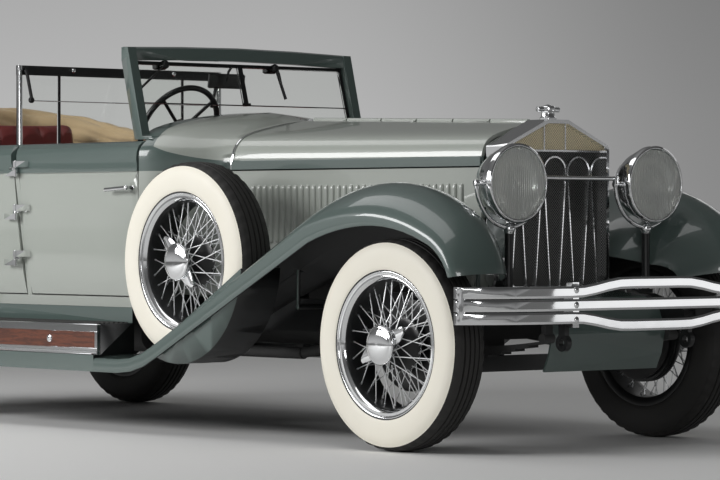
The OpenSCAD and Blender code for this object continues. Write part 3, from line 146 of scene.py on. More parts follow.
class Net:
    """Builds the node tree of a material or of the world."""

    def __init__(self, owner: Union[Mat, bpy.types.World]) -> None:
        """Starts an empty tree.

        Args:
            owner: the material or world whose tree it is.
        """
        owner.use_nodes = True
        self.owner, self.tree = owner, owner.node_tree
        self.tree.nodes.clear()
        self._place: Sock | None = None

    def feed(self, socket: bpy.types.NodeSocket, value: object) -> None:
        """Links a value to a socket, or sets it there.

        Args:
            socket: the input.
            value: a Sock, a number, a colour or a vector.
        """
        if isinstance(value, Sock):
            self.tree.links.new(value.socket, socket)
        elif socket.type == "RGBA":
            socket.default_value = (*value, 1.0)
        else:
            socket.default_value = value

    def node(self, kind: str, settings: Mapping[str, object] | None = None,
             inputs: Mapping[Union[int, str], object] | None = None, out: Union[int, str] = 0) -> Sock:
        """Adds a node.

        Args:
            kind: the node's type.
            settings: its properties; "stops" gives a colour ramp's places and colours.
            inputs: values or links by socket.
            out: which output is wanted.

        Returns:
            That output.
        """
        made = self.tree.nodes.new(kind)
        for key, value in (settings or {}).items():
            if key == "stops":
                ramp = made.color_ramp
                while len(ramp.elements) < len(value):
                    ramp.elements.new(0.5)
                for element, (place, colour) in zip(ramp.elements, value):
                    element.position, element.color = place, (*colour, 1.0)
            else:
                setattr(made, key, value)
        for key, value in (inputs or {}).items():
            self.feed(made.inputs[key], value)
        return Sock(self, made.outputs[out])

    def math(self, operation: str, a: Value, b: Value = 0.0) -> Sock:
        """One Math node."""
        return self.node("ShaderNodeMath", {"operation": operation}, {0: a, 1: b})

    def mix(self, factor: Value, a: Union[Sock, Colour], b: Union[Sock, Colour]) -> Sock:
        """Mixes two colours: factor 0 gives a, and 1 gives b."""
        return self.node("ShaderNodeMix", {"data_type": "RGBA"}, {0: factor, 6: a, 7: b}, 2)

    @property
    def place(self) -> Sock:
        """The point in the piece's own space, which is the car's frame, in metres."""
        if self._place is None:
            self._place = self.node("ShaderNodeTexCoord", out="Object")
        return self._place

    def axes(self) -> tuple[Sock, Sock, Sock]:
        """The three coordinates of the point."""
        split = self.node("ShaderNodeSeparateXYZ", inputs={0: self.place}).socket.node
        return tuple(Sock(self, o) for o in split.outputs)

    def scaled(self, x: float, y: float, z: float) -> Sock:
        """The point with each coordinate multiplied."""
        return self.node("ShaderNodeMapping", inputs={"Vector": self.place, "Scale": (x, y, z)})

    def noise(self, scale: float, detail: float = 2.0, rough: float = 0.5, at: Sock | None = None) -> Sock:
        """Soft noise from 0 to 1: cells a metre, octaves, weight of the fine ones, and the point."""
        return self.node("ShaderNodeTexNoise", inputs={"Vector": at or self.place, "Scale": scale,
                                                       "Detail": detail, "Roughness": rough})

    def bump(self, height: Sock, depth: float, strength: float = 1.0, base: Sock | None = None) -> Sock:
        """Bump from a height.

        Args:
            height: 0 to 1.
            depth: metres that 1 stands for.
            strength: share of the effect.
            base: a normal to build on.

        Returns:
            The normal.
        """
        inputs: dict = {"Strength": strength, "Distance": depth, "Height": height}
        if base is not None:
            inputs["Normal"] = base
        return self.node("ShaderNodeBump", inputs=inputs)

    def end(self, shader: Sock, kind: str) -> None:
        """Links a shader to the tree's output, which is a node of the kind given."""
        self.feed(self.tree.nodes.new(kind).inputs["Surface"], shader)


class Hue(Enum):
    """Colours of the car."""

    LIGHT = srgb(166, 171, 164)
    DARK = srgb(82, 97, 93)
    CHROME = (0.86, 0.87, 0.88)
    SILVER = (0.96, 0.95, 0.90)
    WHITEWALL = srgb(244, 240, 228)
    RUBBER = srgb(38, 37, 36)
    LEATHER = srgb(120, 46, 44)
    CANVAS = srgb(200, 174, 134)
    WOOD = srgb(104, 54, 32)
    WOOD_DARK = srgb(62, 28, 16)
    BLACK = srgb(22, 23, 24)
    GOLD = srgb(250, 236, 200)
    CARPET = srgb(70, 34, 32)
    IRON = srgb(52, 52, 52)
    RED = srgb(150, 18, 14)


@dataclass(frozen=True)
class Finish:
    """A finish of the car, under its material's name."""

    name: str

    def look(self, net: Net) -> Look:
        """Inputs of the Principled shader by name, with _ for the spaces."""
        raise NotImplementedError

    def material(self) -> Mat:
        """Builds the finish.

        Returns:
            Its material.
        """
        net = Net(bpy.data.materials.new(self.name))
        inputs = {key.replace("_", " "): value for key, value in self.look(net).items()}
        net.end(net.node("ShaderNodeBsdfPrincipled", inputs=inputs), "ShaderNodeOutputMaterial")
        return net.owner


@dataclass(frozen=True)
class Paint(Finish):
    """Gloss lacquer: faint flake and orange peel under a clear coat."""

    hue: Hue

    def colour(self, net: Net) -> Union[Sock, Colour]:
        """The lacquer's colour."""
        return self.hue.value

    def look(self, net: Net) -> Look:
        """The lacquer."""
        cloud, fleck = net.noise(2.3, 3.0), net.noise(900.0, 1.0)
        toned = net.node("ShaderNodeHueSaturation", inputs={"Value": 0.965 + cloud * 0.05 + fleck * 0.02,
                                                            "Color": self.colour(net)})
        return dict(Base_Color=toned, Roughness=0.30 + cloud * 0.06, Coat_Weight=1.0, Coat_Roughness=0.03,
                    Coat_IOR=1.5, Normal=net.bump(net.noise(260.0, 2.0), 0.00004, 0.35))


@dataclass(frozen=True)
class TwoTone(Paint):
    """Lacquer of one colour below a height and another above it."""

    over: Hue
    edge: float

    def colour(self, net: Net) -> Sock:
        """The colour on either side of the edge."""
        return net.mix(net.axes()[2].above(self.edge), self.hue.value, self.over.value)


@dataclass(frozen=True)
class CowlPaint(Paint):
    """Dark scuttle with a light drop-shaped panel that runs on from the bonnet."""

    belt: float
    strip: float = 1.187
    joint: float = 0.56
    half: float = 0.62
    tip_x: float = 0.262
    tip_z: float = 1.262
    soft: float = 0.0007

    def colour(self, net: Net) -> Sock:
        """The colour of the cowl, its pillars and header."""
        x, y, z = net.axes()
        run = ((self.joint - x) / (self.joint - self.tip_x)).call("MAXIMUM", 0.0)
        low = self.strip + (run ** 2.2) * (self.tip_z - self.strip)
        back = self.tip_x - 0.052 + ((abs(y) / self.half) ** 5.0) * 0.05
        drop = z.above(low, self.soft) * x.above(back, self.soft)
        pale = drop.call("MAXIMUM", 1.0 - z.above(self.belt))
        return net.mix(pale, self.hue.value, Hue.LIGHT.value)


@dataclass(frozen=True)
class Metal(Finish):
    """Plated metal with fine polishing marks."""

    hue: Hue
    rough: float

    def look(self, net: Net) -> Look:
        """The plate."""
        cloud, marks = net.noise(14.0, 4.0), net.noise(420.0, 2.0)
        colour = net.mix(cloud * 0.35, self.hue.value, tint(self.hue.value, 0.82))
        return dict(Base_Color=colour, Metallic=1.0, Roughness=self.rough + cloud * 0.05 + marks * 0.02,
                    Normal=net.bump(marks, 0.00003, 0.25))


@dataclass(frozen=True)
class Flat(Finish):
    """Satin paint, rubber or iron with dust in its grain."""

    hue: Hue
    rough: float = 0.45
    grain: float = 180.0

    def look(self, net: Net) -> Look:
        """The coat."""
        cloud = net.noise(5.0, 4.0)
        colour = net.mix(cloud * 0.5, self.hue.value, tint(self.hue.value, 1.35, 0.004))
        return dict(Base_Color=colour, Roughness=self.rough + cloud * 0.14,
                    Normal=net.bump(net.noise(self.grain, 3.0), 0.0002, 0.25))


@dataclass(frozen=True)
class Leather(Finish):
    """Hide with pebbled grain, fine creases and paler wear on the swells."""

    pleat: float = 0.0

    def look(self, net: Net) -> Look:
        """The hide; pleat is the pitch of sewn flutes along the car, in metres, or 0."""
        base = Hue.LEATHER.value
        cells = net.node("ShaderNodeTexVoronoi", {"feature": "DISTANCE_TO_EDGE"},
                         {"Vector": net.place, "Scale": 260.0})
        crease, wear = net.noise(38.0, 6.0, 0.6), net.noise(3.5, 4.0)
        colour = net.mix(wear * 0.8, tint(base, 0.72), tint(base, 1.35))
        normal = net.bump(cells.call("MINIMUM", 0.12) * 6.0 + crease * 0.5, 0.0006, 0.5)
        if self.pleat:
            flute = abs((net.axes()[0] * (math.pi / self.pleat)).call("SINE"))
            normal = net.bump(flute ** 0.35, 0.012, 0.9, normal)
            # The sewn channels between flutes are painted much darker: painted shade in the creases.
            colour = net.mix(flute.above(0.16, 0.14), tint(base, 0.35), colour)
        return dict(Base_Color=colour, Roughness=0.36 + wear * 0.2, Specular_IOR_Level=0.5, Normal=normal)


@dataclass(frozen=True)
class Cloth(Finish):
    """Woven cloth: two crossing sets of threads, slubs and faded folds."""

    hue: Hue
    threads: float = 520.0

    def look(self, net: Net) -> Look:
        """The weave."""
        base, (x, y, z) = self.hue.value, net.axes()
        warp = ((x + y) * self.threads * 4.4).call("SINE")
        weft = ((z + (x - y) * 0.35) * self.threads * 5.6).call("SINE")
        slub, fade = net.noise(90.0, 4.0, 0.7), net.noise(4.0, 4.0)
        colour = net.mix(fade * 0.9, tint(base, 0.72), tint(base, 1.22))
        crumple = net.bump(net.noise(9.0, 3.0, 0.45), 0.016, 0.7)
        return dict(Base_Color=net.mix(slub * 0.3, colour, tint(base, 0.6)), Roughness=0.86 + slub * 0.1,
                    Sheen_Weight=0.25, Normal=net.bump(warp * weft * 0.5 + slub, 0.0009, 0.5, crumple))


@dataclass(frozen=True)
class Wood(Finish):
    """Varnished red-brown timber with the grain along the car, or across it."""

    across: bool = False

    def look(self, net: Net) -> Look:
        """The timber."""
        stretch = net.scaled(*((14.0, 1.2, 14.0) if self.across else (1.2, 14.0, 14.0)))
        ring, pore = net.noise(2.2, 5.0, 0.55, stretch), net.noise(26.0, 4.0, 0.7, stretch)
        band = ((ring * 34.0).call("SINE") * 0.5 + 0.5) ** 1.6
        colour = net.mix(band * 0.7, Hue.WOOD.value, Hue.WOOD_DARK.value)
        colour = net.mix(pore.above(0.58, 0.08) * 0.5, colour, tint(Hue.WOOD_DARK.value, 0.45))
        return dict(Base_Color=colour, Roughness=0.55 + pore * 0.12, Coat_Weight=0.08, Coat_Roughness=0.12,
                    Normal=net.bump(pore, 0.0003, 0.2))


@dataclass(frozen=True)
class Glass(Finish):
    """Clear pane with a film of dust, or a ribbed lamp lens."""

    flutes: float = 0.0

    def look(self, net: Net) -> Look:
        """The glass; flutes is the pitch of upright ribs over the width, in metres, or 0."""
        if self.flutes:
            normal = net.bump(abs((net.axes()[1] * (math.pi / self.flutes)).call("SINE")), 0.0022, 0.7)
        else:
            normal = net.bump(net.noise(3.0, 1.0), 0.0002, 0.1)
        return dict(Base_Color=(0.95, 0.97, 0.95), Roughness=net.noise(9.0, 5.0) * 0.06,
                    Transmission_Weight=0.68 if self.flutes else 1.0, IOR=1.3, Normal=normal)


@dataclass(frozen=True)
class Core(Finish):
    """Radiator core behind bars: woven wire, its holes painted near-black below as painted shade,
    brass-tinted in the gable.
    """

    front: float = 2.1226
    gable: float = 1.212
    pitch: float = 250.0

    def look(self, net: Net) -> Look:
        """The finish of the grille node."""
        x, y, z = net.axes()
        up, down = (((y + z) * self.pitch).call("SINE"), ((y - z) * self.pitch).call("SINE"))
        mask = 1.0 - abs(up).call("MINIMUM", abs(down)).above(0.17, 0.06)
        brass, bar = z.above(self.gable), x.above(self.front, 0.0004)
        metal = net.mix(brass, srgb(150, 151, 148), srgb(70, 60, 42))
        # Below the gable the holes are painted near-black as painted shade seen through the mesh; in the
        # gable they are gold.
        hole_shade_and_gold = net.mix(brass, srgb(9, 9, 10), Hue.GOLD.value)
        colour = net.mix(bar, net.mix(mask, hole_shade_and_gold, metal), Hue.CHROME.value)
        shine = bar.call("MAXIMUM", mask * 0.6 * (1.0 - brass))
        return dict(Base_Color=colour, Metallic=shine, Roughness=0.42 - bar * 0.34,
                    Normal=net.bump(mask, 0.0016, 0.6))


@dataclass(frozen=True)
class Whitewall(Finish):
    """Cream tyre wall with a trace of road dust."""

    def look(self, net: Net) -> Look:
        """The wall."""
        dust, scuff = net.noise(7.0, 4.0), net.noise(60.0, 5.0, 0.7)
        return dict(Base_Color=net.mix(dust * 0.35, Hue.WHITEWALL.value, srgb(232, 225, 204)),
                    Roughness=0.46 + scuff * 0.12, Normal=net.bump(scuff, 0.0003, 0.25))


class Shape:
    """A mesh in the making, in the car's frame and in metres."""

    def __init__(self) -> None:
        """Starts empty, with faces of the first finish."""
        self.points: list[Vector] = []
        self.faces: list[tuple[int, ...]] = []
        self.kinds: list[int] = []
        self.kind = 0

    def _face(self, corners: Sequence[int], kind: int | None = None) -> None:
        """Adds one face, of the present finish if no other is given."""
        self.faces.append(tuple(corners))
        self.kinds.append(self.kind if kind is None else kind)

    def _skin(self, rings: Sequence[Sequence[Point]], loop: bool, closed: bool,
              kinds: Sequence[int] | None = None) -> int:
        """Adds the faces between neighbouring rings.

        Args:
            rings: rings of equally many points.
            loop: joins the last ring to the first.
            closed: joins the last point of a ring to its first.
            kinds: finish of each strip between neighbouring points of a ring.

        Returns:
            The number of the first point.
        """
        start, n, m = len(self.points), len(rings[0]), len(rings)
        self.points += [Vector(p) for ring in rings for p in ring]
        for i in range(m if loop else m - 1):
            a, b = start + i * n, start + (i + 1) % m * n
            for j in range(n if closed else n - 1):
                k = (j + 1) % n
                self._face((a + j, a + k, b + k, b + j), kinds[j] if kinds else None)
        return start

    def loft(self, rings: Sequence[Sequence[Point]]) -> Shape:
        """Skins a row of closed rings and closes the ends.

        Args:
            rings: rings of equally many points.

        Returns:
            This shape.
        """
        start, n = self._skin(rings, False, True), len(rings[0])
        last = start + (len(rings) - 1) * n
        self._face(range(start + n - 1, start - 1, -1))
        self._face(range(last, last + n))
        return self

    def tube(self, path: Sequence[Point], radius: Union[float, Callable[[float], float]], sides: int = 12,
             flat: float = 1.0, side: Point | None = None) -> Shape:
        """A round or flattened bar along a path.

        Args:
            path: the middle line.
            radius: half the width, or a rule that gives it from 0 to 1 along the path.
            sides: points round the bar.
            flat: thickness over width.
            side: the direction of the width at the start.

        Returns:
            This shape.
        """
        points = [Vector(p) for p in path]
        m, rings, across = len(points), [], Vector(side) if side else None
        for i, p in enumerate(points):
            along = (points[min(i + 1, m - 1)] - points[max(i - 1, 0)]).normalized()
            across = across or along.orthogonal()
            across = (across - along * across.dot(along)).normalized()
            over = along.cross(across)
            r = radius(i / (m - 1)) if callable(radius) else radius
            turns = [2 * math.pi * (q + 0.5) / sides for q in range(sides)]
            rings.append([p + across * (r * math.cos(t)) + over * (r * flat * math.sin(t)) for t in turns])
        return self.loft(rings)

    def lathe(self, profile: Profile, centre: Point, axis: Point, steps: int = 64,
              kinds: Sequence[int] | None = None, loop: bool = False,
              cut: Callable[[int, int], float] | None = None) -> Shape:
        """Turns a profile about an axis.

        Args:
            profile: radius and place along the axis.
            centre: a point of the axis.
            axis: its direction.
            steps: points of each circle.
            kinds: finish of each strip of the profile.
            loop: joins the profile's ends.
            cut: how far a point of the profile is sunk at a step.

        Returns:
            This shape.
        """
        along = Vector(axis).normalized()
        across = along.orthogonal().normalized()
        over, c, rings = along.cross(across), Vector(centre), []
        for i in range(steps):
            t = 2 * math.pi * i / steps
            out = across * math.cos(t) + over * math.sin(t)
            rings.append([c + out * (r - (cut(i, j) if cut else 0.0)) + along * w
                          for j, (r, w) in enumerate(profile)])
        start, n = self._skin(rings, True, loop, kinds), len(profile)
        for j in () if loop else (0, n - 1):
            if profile[j][0] > 1e-6:
                self._face([start + i * n + j for i in range(steps)])
        return self

    def block(self, low: Point, high: Point, edge: float = 0.003, turn: Matrix | None = None) -> Shape:
        """A bar with eased edges.

        Args:
            low: lowest corner.
            high: highest corner.
            edge: how far the edges are eased.
            turn: turns the block, which is then given about the turn's own origin.

        Returns:
            This shape.
        """
        (x0, y0, z0), (x1, y1, z1) = low, high
        rings = []
        for z, g in ((z0, edge), (z0 + edge, 0.0), (z1 - edge, 0.0), (z1, edge)):
            e = edge * 0.6 + g
            rings.append([(x0 + e, y0 + g, z), (x1 - e, y0 + g, z), (x1 - g, y0 + e, z), (x1 - g, y1 - e, z),
                          (x1 - e, y1 - g, z), (x0 + e, y1 - g, z), (x0 + g, y1 - e, z), (x0 + g, y0 + e, z)])
        if turn is not None:
            rings = [[turn @ Vector(p) for p in ring] for ring in rings]
        return self.loft(rings)

    def both(self) -> Shape:
        """Adds the mirror image over the car's middle plane."""
        n, faces, kinds = len(self.points), list(self.faces), list(self.kinds)
        self.points += [Vector((p.x, -p.y, p.z)) for p in self.points]
        self.faces += [tuple(i + n for i in reversed(f)) for f in faces]
        self.kinds += kinds
        return self

    def put(self, name: str, body: str, *finishes: Mat, slot: str, replaces: Sequence[str] = (),
            angle: float = 35.0) -> Obj:
        """Makes the object and hangs it on its body.

        Args:
            name: the piece's name.
            body: the CAD body that it rides on.
            finishes: materials in the order of the faces' kinds.
            slot: the record's material slot; not used.
            replaces: CAD nodes that it stands for.
            angle: edges sharper than this stay sharp.

        Returns:
            The object.
        """
        mesh = bpy.data.meshes.new(name)
        mesh.from_pydata(self.points, [], self.faces)
        for finish in finishes:
            mesh.materials.append(finish)
        mesh.polygons.foreach_set("material_index", self.kinds)
        bm = bmesh.new()
        bm.from_mesh(mesh)
        bmesh.ops.recalc_face_normals(bm, faces=bm.faces)
        bm.to_mesh(mesh)
        bm.free()
        return settle(name, mesh, body, replaces, angle)


def settle(name: str, mesh: bpy.types.Mesh, body: str, replaces: Sequence[str],
           angle: float) -> Obj:
    """Shades a mesh and hangs it on a body.

    Args:
        name: the piece's name.
        mesh: its mesh.
        body: the CAD body that it rides on.
        replaces: CAD nodes that it stands for.
        angle: edges sharper than this stay sharp.

    Returns:
        The object.
    """
    mesh.polygons.foreach_set("use_smooth", [True] * len(mesh.polygons))
    mesh.set_sharp_from_angle(angle=math.radians(angle))
    obj = bpy.data.objects.new(name, mesh)
    bpy.context.scene.collection.objects.link(obj)
    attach(obj, body)
    if replaces:
        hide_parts(*replaces)
    log.info("%s: %d faces on %s", name, len(mesh.polygons), body)
    return obj


@dataclass
class Panel:
    """A sheet-metal piece: the CAD node's own mesh, joined up and shaded as one pressing."""

    node: str
    finishes: tuple[Mat, ...]
    slot: str
    choose: Callable[[Vector, Vector], int] | None = None
    angle: float = 30.0
    drop: Callable[[Vector], bool] | None = None
    stations: tuple[float, ...] = ()

    def build(self) -> None:
        """Copies the node's mesh, joins its facets and gives each face its finish."""
        source = frame["nodes"][self.node]
        mesh = source.data.copy()
        bm = bmesh.new()
        bm.from_mesh(mesh)
        bmesh.ops.remove_doubles(bm, verts=bm.verts, dist=0.00002)
        for x in self.stations:
            bmesh.ops.bisect_plane(bm, geom=[*bm.verts, *bm.edges, *bm.faces], plane_co=(x, 0, 0),
                                   plane_no=(1, 0, 0))
        bm.normal_update()
        if self.drop:
            hidden = [face for face in bm.faces if self.drop(face.calc_center_median())]
            bmesh.ops.delete(bm, geom=hidden, context="FACES")
        for face in bm.faces:
            face.material_index = self.choose(face.calc_center_median(), face.normal) if self.choose else 0
        old = mesh.attributes.get("custom_normal")
        if old:
            mesh.attributes.remove(old)
        mesh.materials.clear()
        for finish in self.finishes:
            mesh.materials.append(finish)
        bm.to_mesh(mesh)
        bm.free()
        obj = settle(self.node + "_panel", mesh, body_of(source)[0], [self.node], self.angle)
        obj.modifiers.new("normals", "WEIGHTED_NORMAL").keep_sharp = True


class Finishes:
    """Every finish of the car, made once. The belt and the bonnet's strip are heights."""

    BELT, STRIP = 1.1435, 1.189

    def __init__(self) -> None:
        """Makes the materials."""
        self.light = Paint("light_lacquer", Hue.LIGHT).material()
        self.dark = Paint("dark_lacquer", Hue.DARK).material()
        self.body = TwoTone("body_lacquer", Hue.LIGHT, Hue.DARK, self.BELT).material()
        self.bonnet = TwoTone("bonnet_lacquer", Hue.DARK, Hue.LIGHT, self.STRIP).material()
        self.cowl = CowlPaint("cowl_lacquer", Hue.DARK, self.BELT).material()
        self.chrome = Metal("chrome", Hue.CHROME, 0.05).material()
        self.silver = Metal("lamp_silver", Hue.SILVER, 0.34).material()
        self.spoke = Metal("spoke_plate", Hue.CHROME, 0.36).material()
        self.black = Flat("black_enamel", Hue.BLACK, 0.3, 260.0).material()
        self.iron = Flat("cast_iron", Hue.IRON, 0.6, 120.0).material()
        self.rubber = Flat("rubber", Hue.RUBBER, 0.62, 320.0).material()
        self.leather = Leather("seat_hide").material()
        self.card = Leather("door_hide", 0.085).material()
        self.canvas = Cloth("top_canvas", Hue.CANVAS).material()
        self.carpet = Cloth("floor_carpet", Hue.CARPET, 240.0).material()
        self.wood = Wood("step_timber").material()
        self.dash = Wood("dash_timber", True).material()
        self.pane = Glass("pane").material()
        self.lens = Glass("lens", 0.011).material()
        self.red = Flat("red_glass", Hue.RED, 0.12, 60.0).material()
        self.core = Core("radiator_core").material()
        self.wall = Whitewall("white_wall").material()
        self.ivory = Flat("dial_ivory", Hue.WHITEWALL, 0.4).material()


@dataclass
class Assembly:
    """A part of the car: its finishes and the body that it rides on."""

    f: Finishes
    body: str


class Bodywork(Assembly):
    """Painted sheet metal: body, doors, bonnet, cowl, fenders and boards.

    SIDE, INNER and PROUD are half widths: of the side, inside its trim and over its hinges. The next four are
    places along the car, the tail's bend, rear panel and inner wall among them. FLOOR to LATCH are heights.
    LEAF is where a hinge's leaf lies from its pin, and STATIONS is where the tub's long facets are split.
    Each method that ends in _face takes a face's centre and normal, and returns the number of its finish.
    """

    SIDE, INNER, PROUD = 0.7125, 0.668, 0.716
    HINGE, BEND, TAIL, REAR_WALL = -0.69, -1.95, -2.2, -2.31
    FLOOR, SILL, RAIL, CARD, LATCH = 0.80, 0.72, 1.27, 1.262, 1.2
    LEAF = (0.045, 0.1)
    AXLES, AXLE_Z = (2.0, -1.7), 0.35
    STATIONS = tuple(-1.02 - 0.06 * k for k in range(22))

    def door_face(self, centre: Vector, normal: Vector) -> int:
        """Finish of a door's face: paint, trim board or bright fittings."""
        outward = normal.y * math.copysign(1.0, centre.y)
        if abs(centre.y) > self.SIDE and centre.z < self.LATCH or abs(centre.y) > self.PROUD:
            return 0 if self.LEAF[0] < abs(centre.x - self.HINGE) < self.LEAF[1] else 2
        return int(outward < -0.6 and abs(centre.y) < self.INNER and centre.z < self.CARD)

    def tub_face(self, centre: Vector, normal: Vector) -> int:
        """Finish of the tub's face: paint, hide, carpet, black underside or bright hinge."""
        if abs(centre.y) > self.PROUD and centre.x > -1.0:
            return 4
        if normal.z > 0.7 and centre.z < self.FLOOR and abs(centre.y) < self.INNER:
            return 2
        if centre.z < self.SILL and (normal.z < -0.6 or (abs(centre.y) < 0.62 and centre.x > self.TAIL)):
            return 3
        axis = Vector((max(centre.x, self.BEND), 0.0, centre.z))
        inward = (axis - centre).dot(normal) > 0 and abs(normal.z) < 0.8
        inside = abs(centre.y) < self.INNER and centre.x > self.REAR_WALL
        return int(inward and inside and centre.z < self.RAIL)

    def fender_face(self, centre: Vector, normal: Vector) -> int:
        """Finish of a fender's face: paint outside, black under the sheet."""
        wheel_x = self.AXLES[0] if centre.x > -0.2 else self.AXLES[1]
        out = Vector((centre.x - wheel_x, 0.0, centre.z - self.AXLE_Z)).normalized()
        if abs(normal.y) > 0.75:
            return int(normal.y * math.copysign(1.0, centre.y) <= 0 and abs(centre.y) >= 0.62)
        if centre.x > 0.7 or centre.x < -1.0:
            return int(normal.dot(out) <= -0.12)
        return int(normal.z <= -0.2)

    def board_face(self, centre: Vector, normal: Vector) -> int:
        """Finish of the running boards: painted aprons and black box."""
        upright = abs(normal.y) > 0.5
        inner = abs(centre.y) < 0.672 and centre.z > 0.4
        return int(not (upright and (inner or abs(centre.y) > 0.86)))

    def lamp_face(self, centre: Vector, normal: Vector) -> int:
        """Finish of a headlamp's face: plate, black post or silvered bowl."""
        lamp = FrontEnd.LAMP
        off = math.hypot(abs(centre.y) - lamp.y, centre.z - lamp.z)
        if off < 0.128 and normal.x > 0.05 and centre.x < lamp.x + 0.01:
            return 2
        return int(centre.z < 0.868)

    def partition_face(self, centre: Vector, normal: Vector) -> int:
        """Finish of the partition: black frame, bright posts, hide below."""
        if abs(centre.y) > 0.574 and self.RAIL < centre.z < 1.645:
            return int(abs(normal.x) > 0.5)
        return 2 if centre.z < 1.26 else 0

    def build(self) -> None:
        """Builds every panel."""
        f = self.f
        for side in ("right", "left"):
            for end in ("front", "rear"):
                Panel(f"door_{end}_{side}", (f.body, f.card, f.chrome), "light_paint", self.door_face).build()
            Panel(f"bonnet_{side}", (f.bonnet,), "light_paint").build()
        Panel("bonnet_sides", (f.light,), "light_paint", angle=24.0, drop=Louvres.covers).build()
        Panel("cowl", (f.cowl,), "light_paint").build()
        Panel("body_tub", (f.body, f.card, f.carpet, f.black, f.chrome), "light_paint", self.tub_face,
              stations=self.STATIONS).build()
        for node in ("front_fenders", "rear_fenders"):
            Panel(node, (f.dark, f.black), "dark_paint", self.fender_face, 46.0).build()
        Panel("running_boards", (f.dark, f.black), "dark_paint", self.board_face).build()
        Panel("front_apron", (f.dark,), "dark_paint").build()
        for node in ("front_bumper", "rear_bumper", "radiator_shell", "radiator_cap"):
            Panel(node, (f.chrome,), "chrome", angle=22.0).build()
        Panel("headlamps", (f.chrome, f.black, f.silver), "chrome", self.lamp_face, 34.0).build()
        Panel("partition", (f.black, f.chrome, f.card), "black_paint", self.partition_face).build()


@dataclass
class Turned(Assembly):
    """A tyre or wheel, turned about its axle."""

    name: str
    node: str
    centre: tuple[float, float, float]

    @property
    def side(self) -> float:
        """1 on the car's left and -1 on its right."""
        return math.copysign(1.0, self.centre[1])


@dataclass
class Tyre(Turned):
    """A tyre with a wide white outer wall, grooved tread and notched shoulders."""

    steps: int = 192
    half: Profile = (
        (0.2790, 0.060), (0.2900, 0.0790), (0.2955, 0.0855), (0.3000, 0.0868), (0.3020, 0.0885),
        (0.3150, 0.0908), (0.3320, 0.0924), (0.3520, 0.0925), (0.3720, 0.0915), (0.3880, 0.0882),
        (0.4010, 0.0822), (0.4070, 0.0780), (0.4085, 0.0782), (0.4105, 0.0766), (0.4150, 0.0715),
        (0.4205, 0.0640), (0.4235, 0.0560), (0.4248, 0.0410), (0.4180, 0.0395), (0.4180, 0.0345),
        (0.4262, 0.0330), (0.4274, 0.0160), (0.4200, 0.0145), (0.4200, 0.0095), (0.4280, 0.0080))
    wall: tuple[int, int] = (3, 12)
    notch: tuple[int, int] = (13, 17)

    def cut(self, step: int, j: int) -> float:
        """Depth of the shoulder's notches at a step and a point of the profile."""
        n = len(self.half)
        inside = self.notch[0] <= min(j, 2 * n - 1 - j) < self.notch[1]
        return 0.0045 if inside and (step + (j >= n) * 2) % 4 < 2 else 0.0

    def build(self) -> None:
        """Turns the tyre."""
        profile = [*self.half, *((r, -w) for r, w in reversed(self.half))]
        kinds = [int(self.wall[0] <= j < self.wall[1]) for j in range(len(profile))]
        shape = Shape().lathe(profile, self.centre, (0.0, self.side, 0.0), self.steps, kinds, True, self.cut)
        shape.put(self.name, self.body, self.f.rubber, self.f.wall, slot="tyre", replaces=[self.node],
                  angle=40.0)


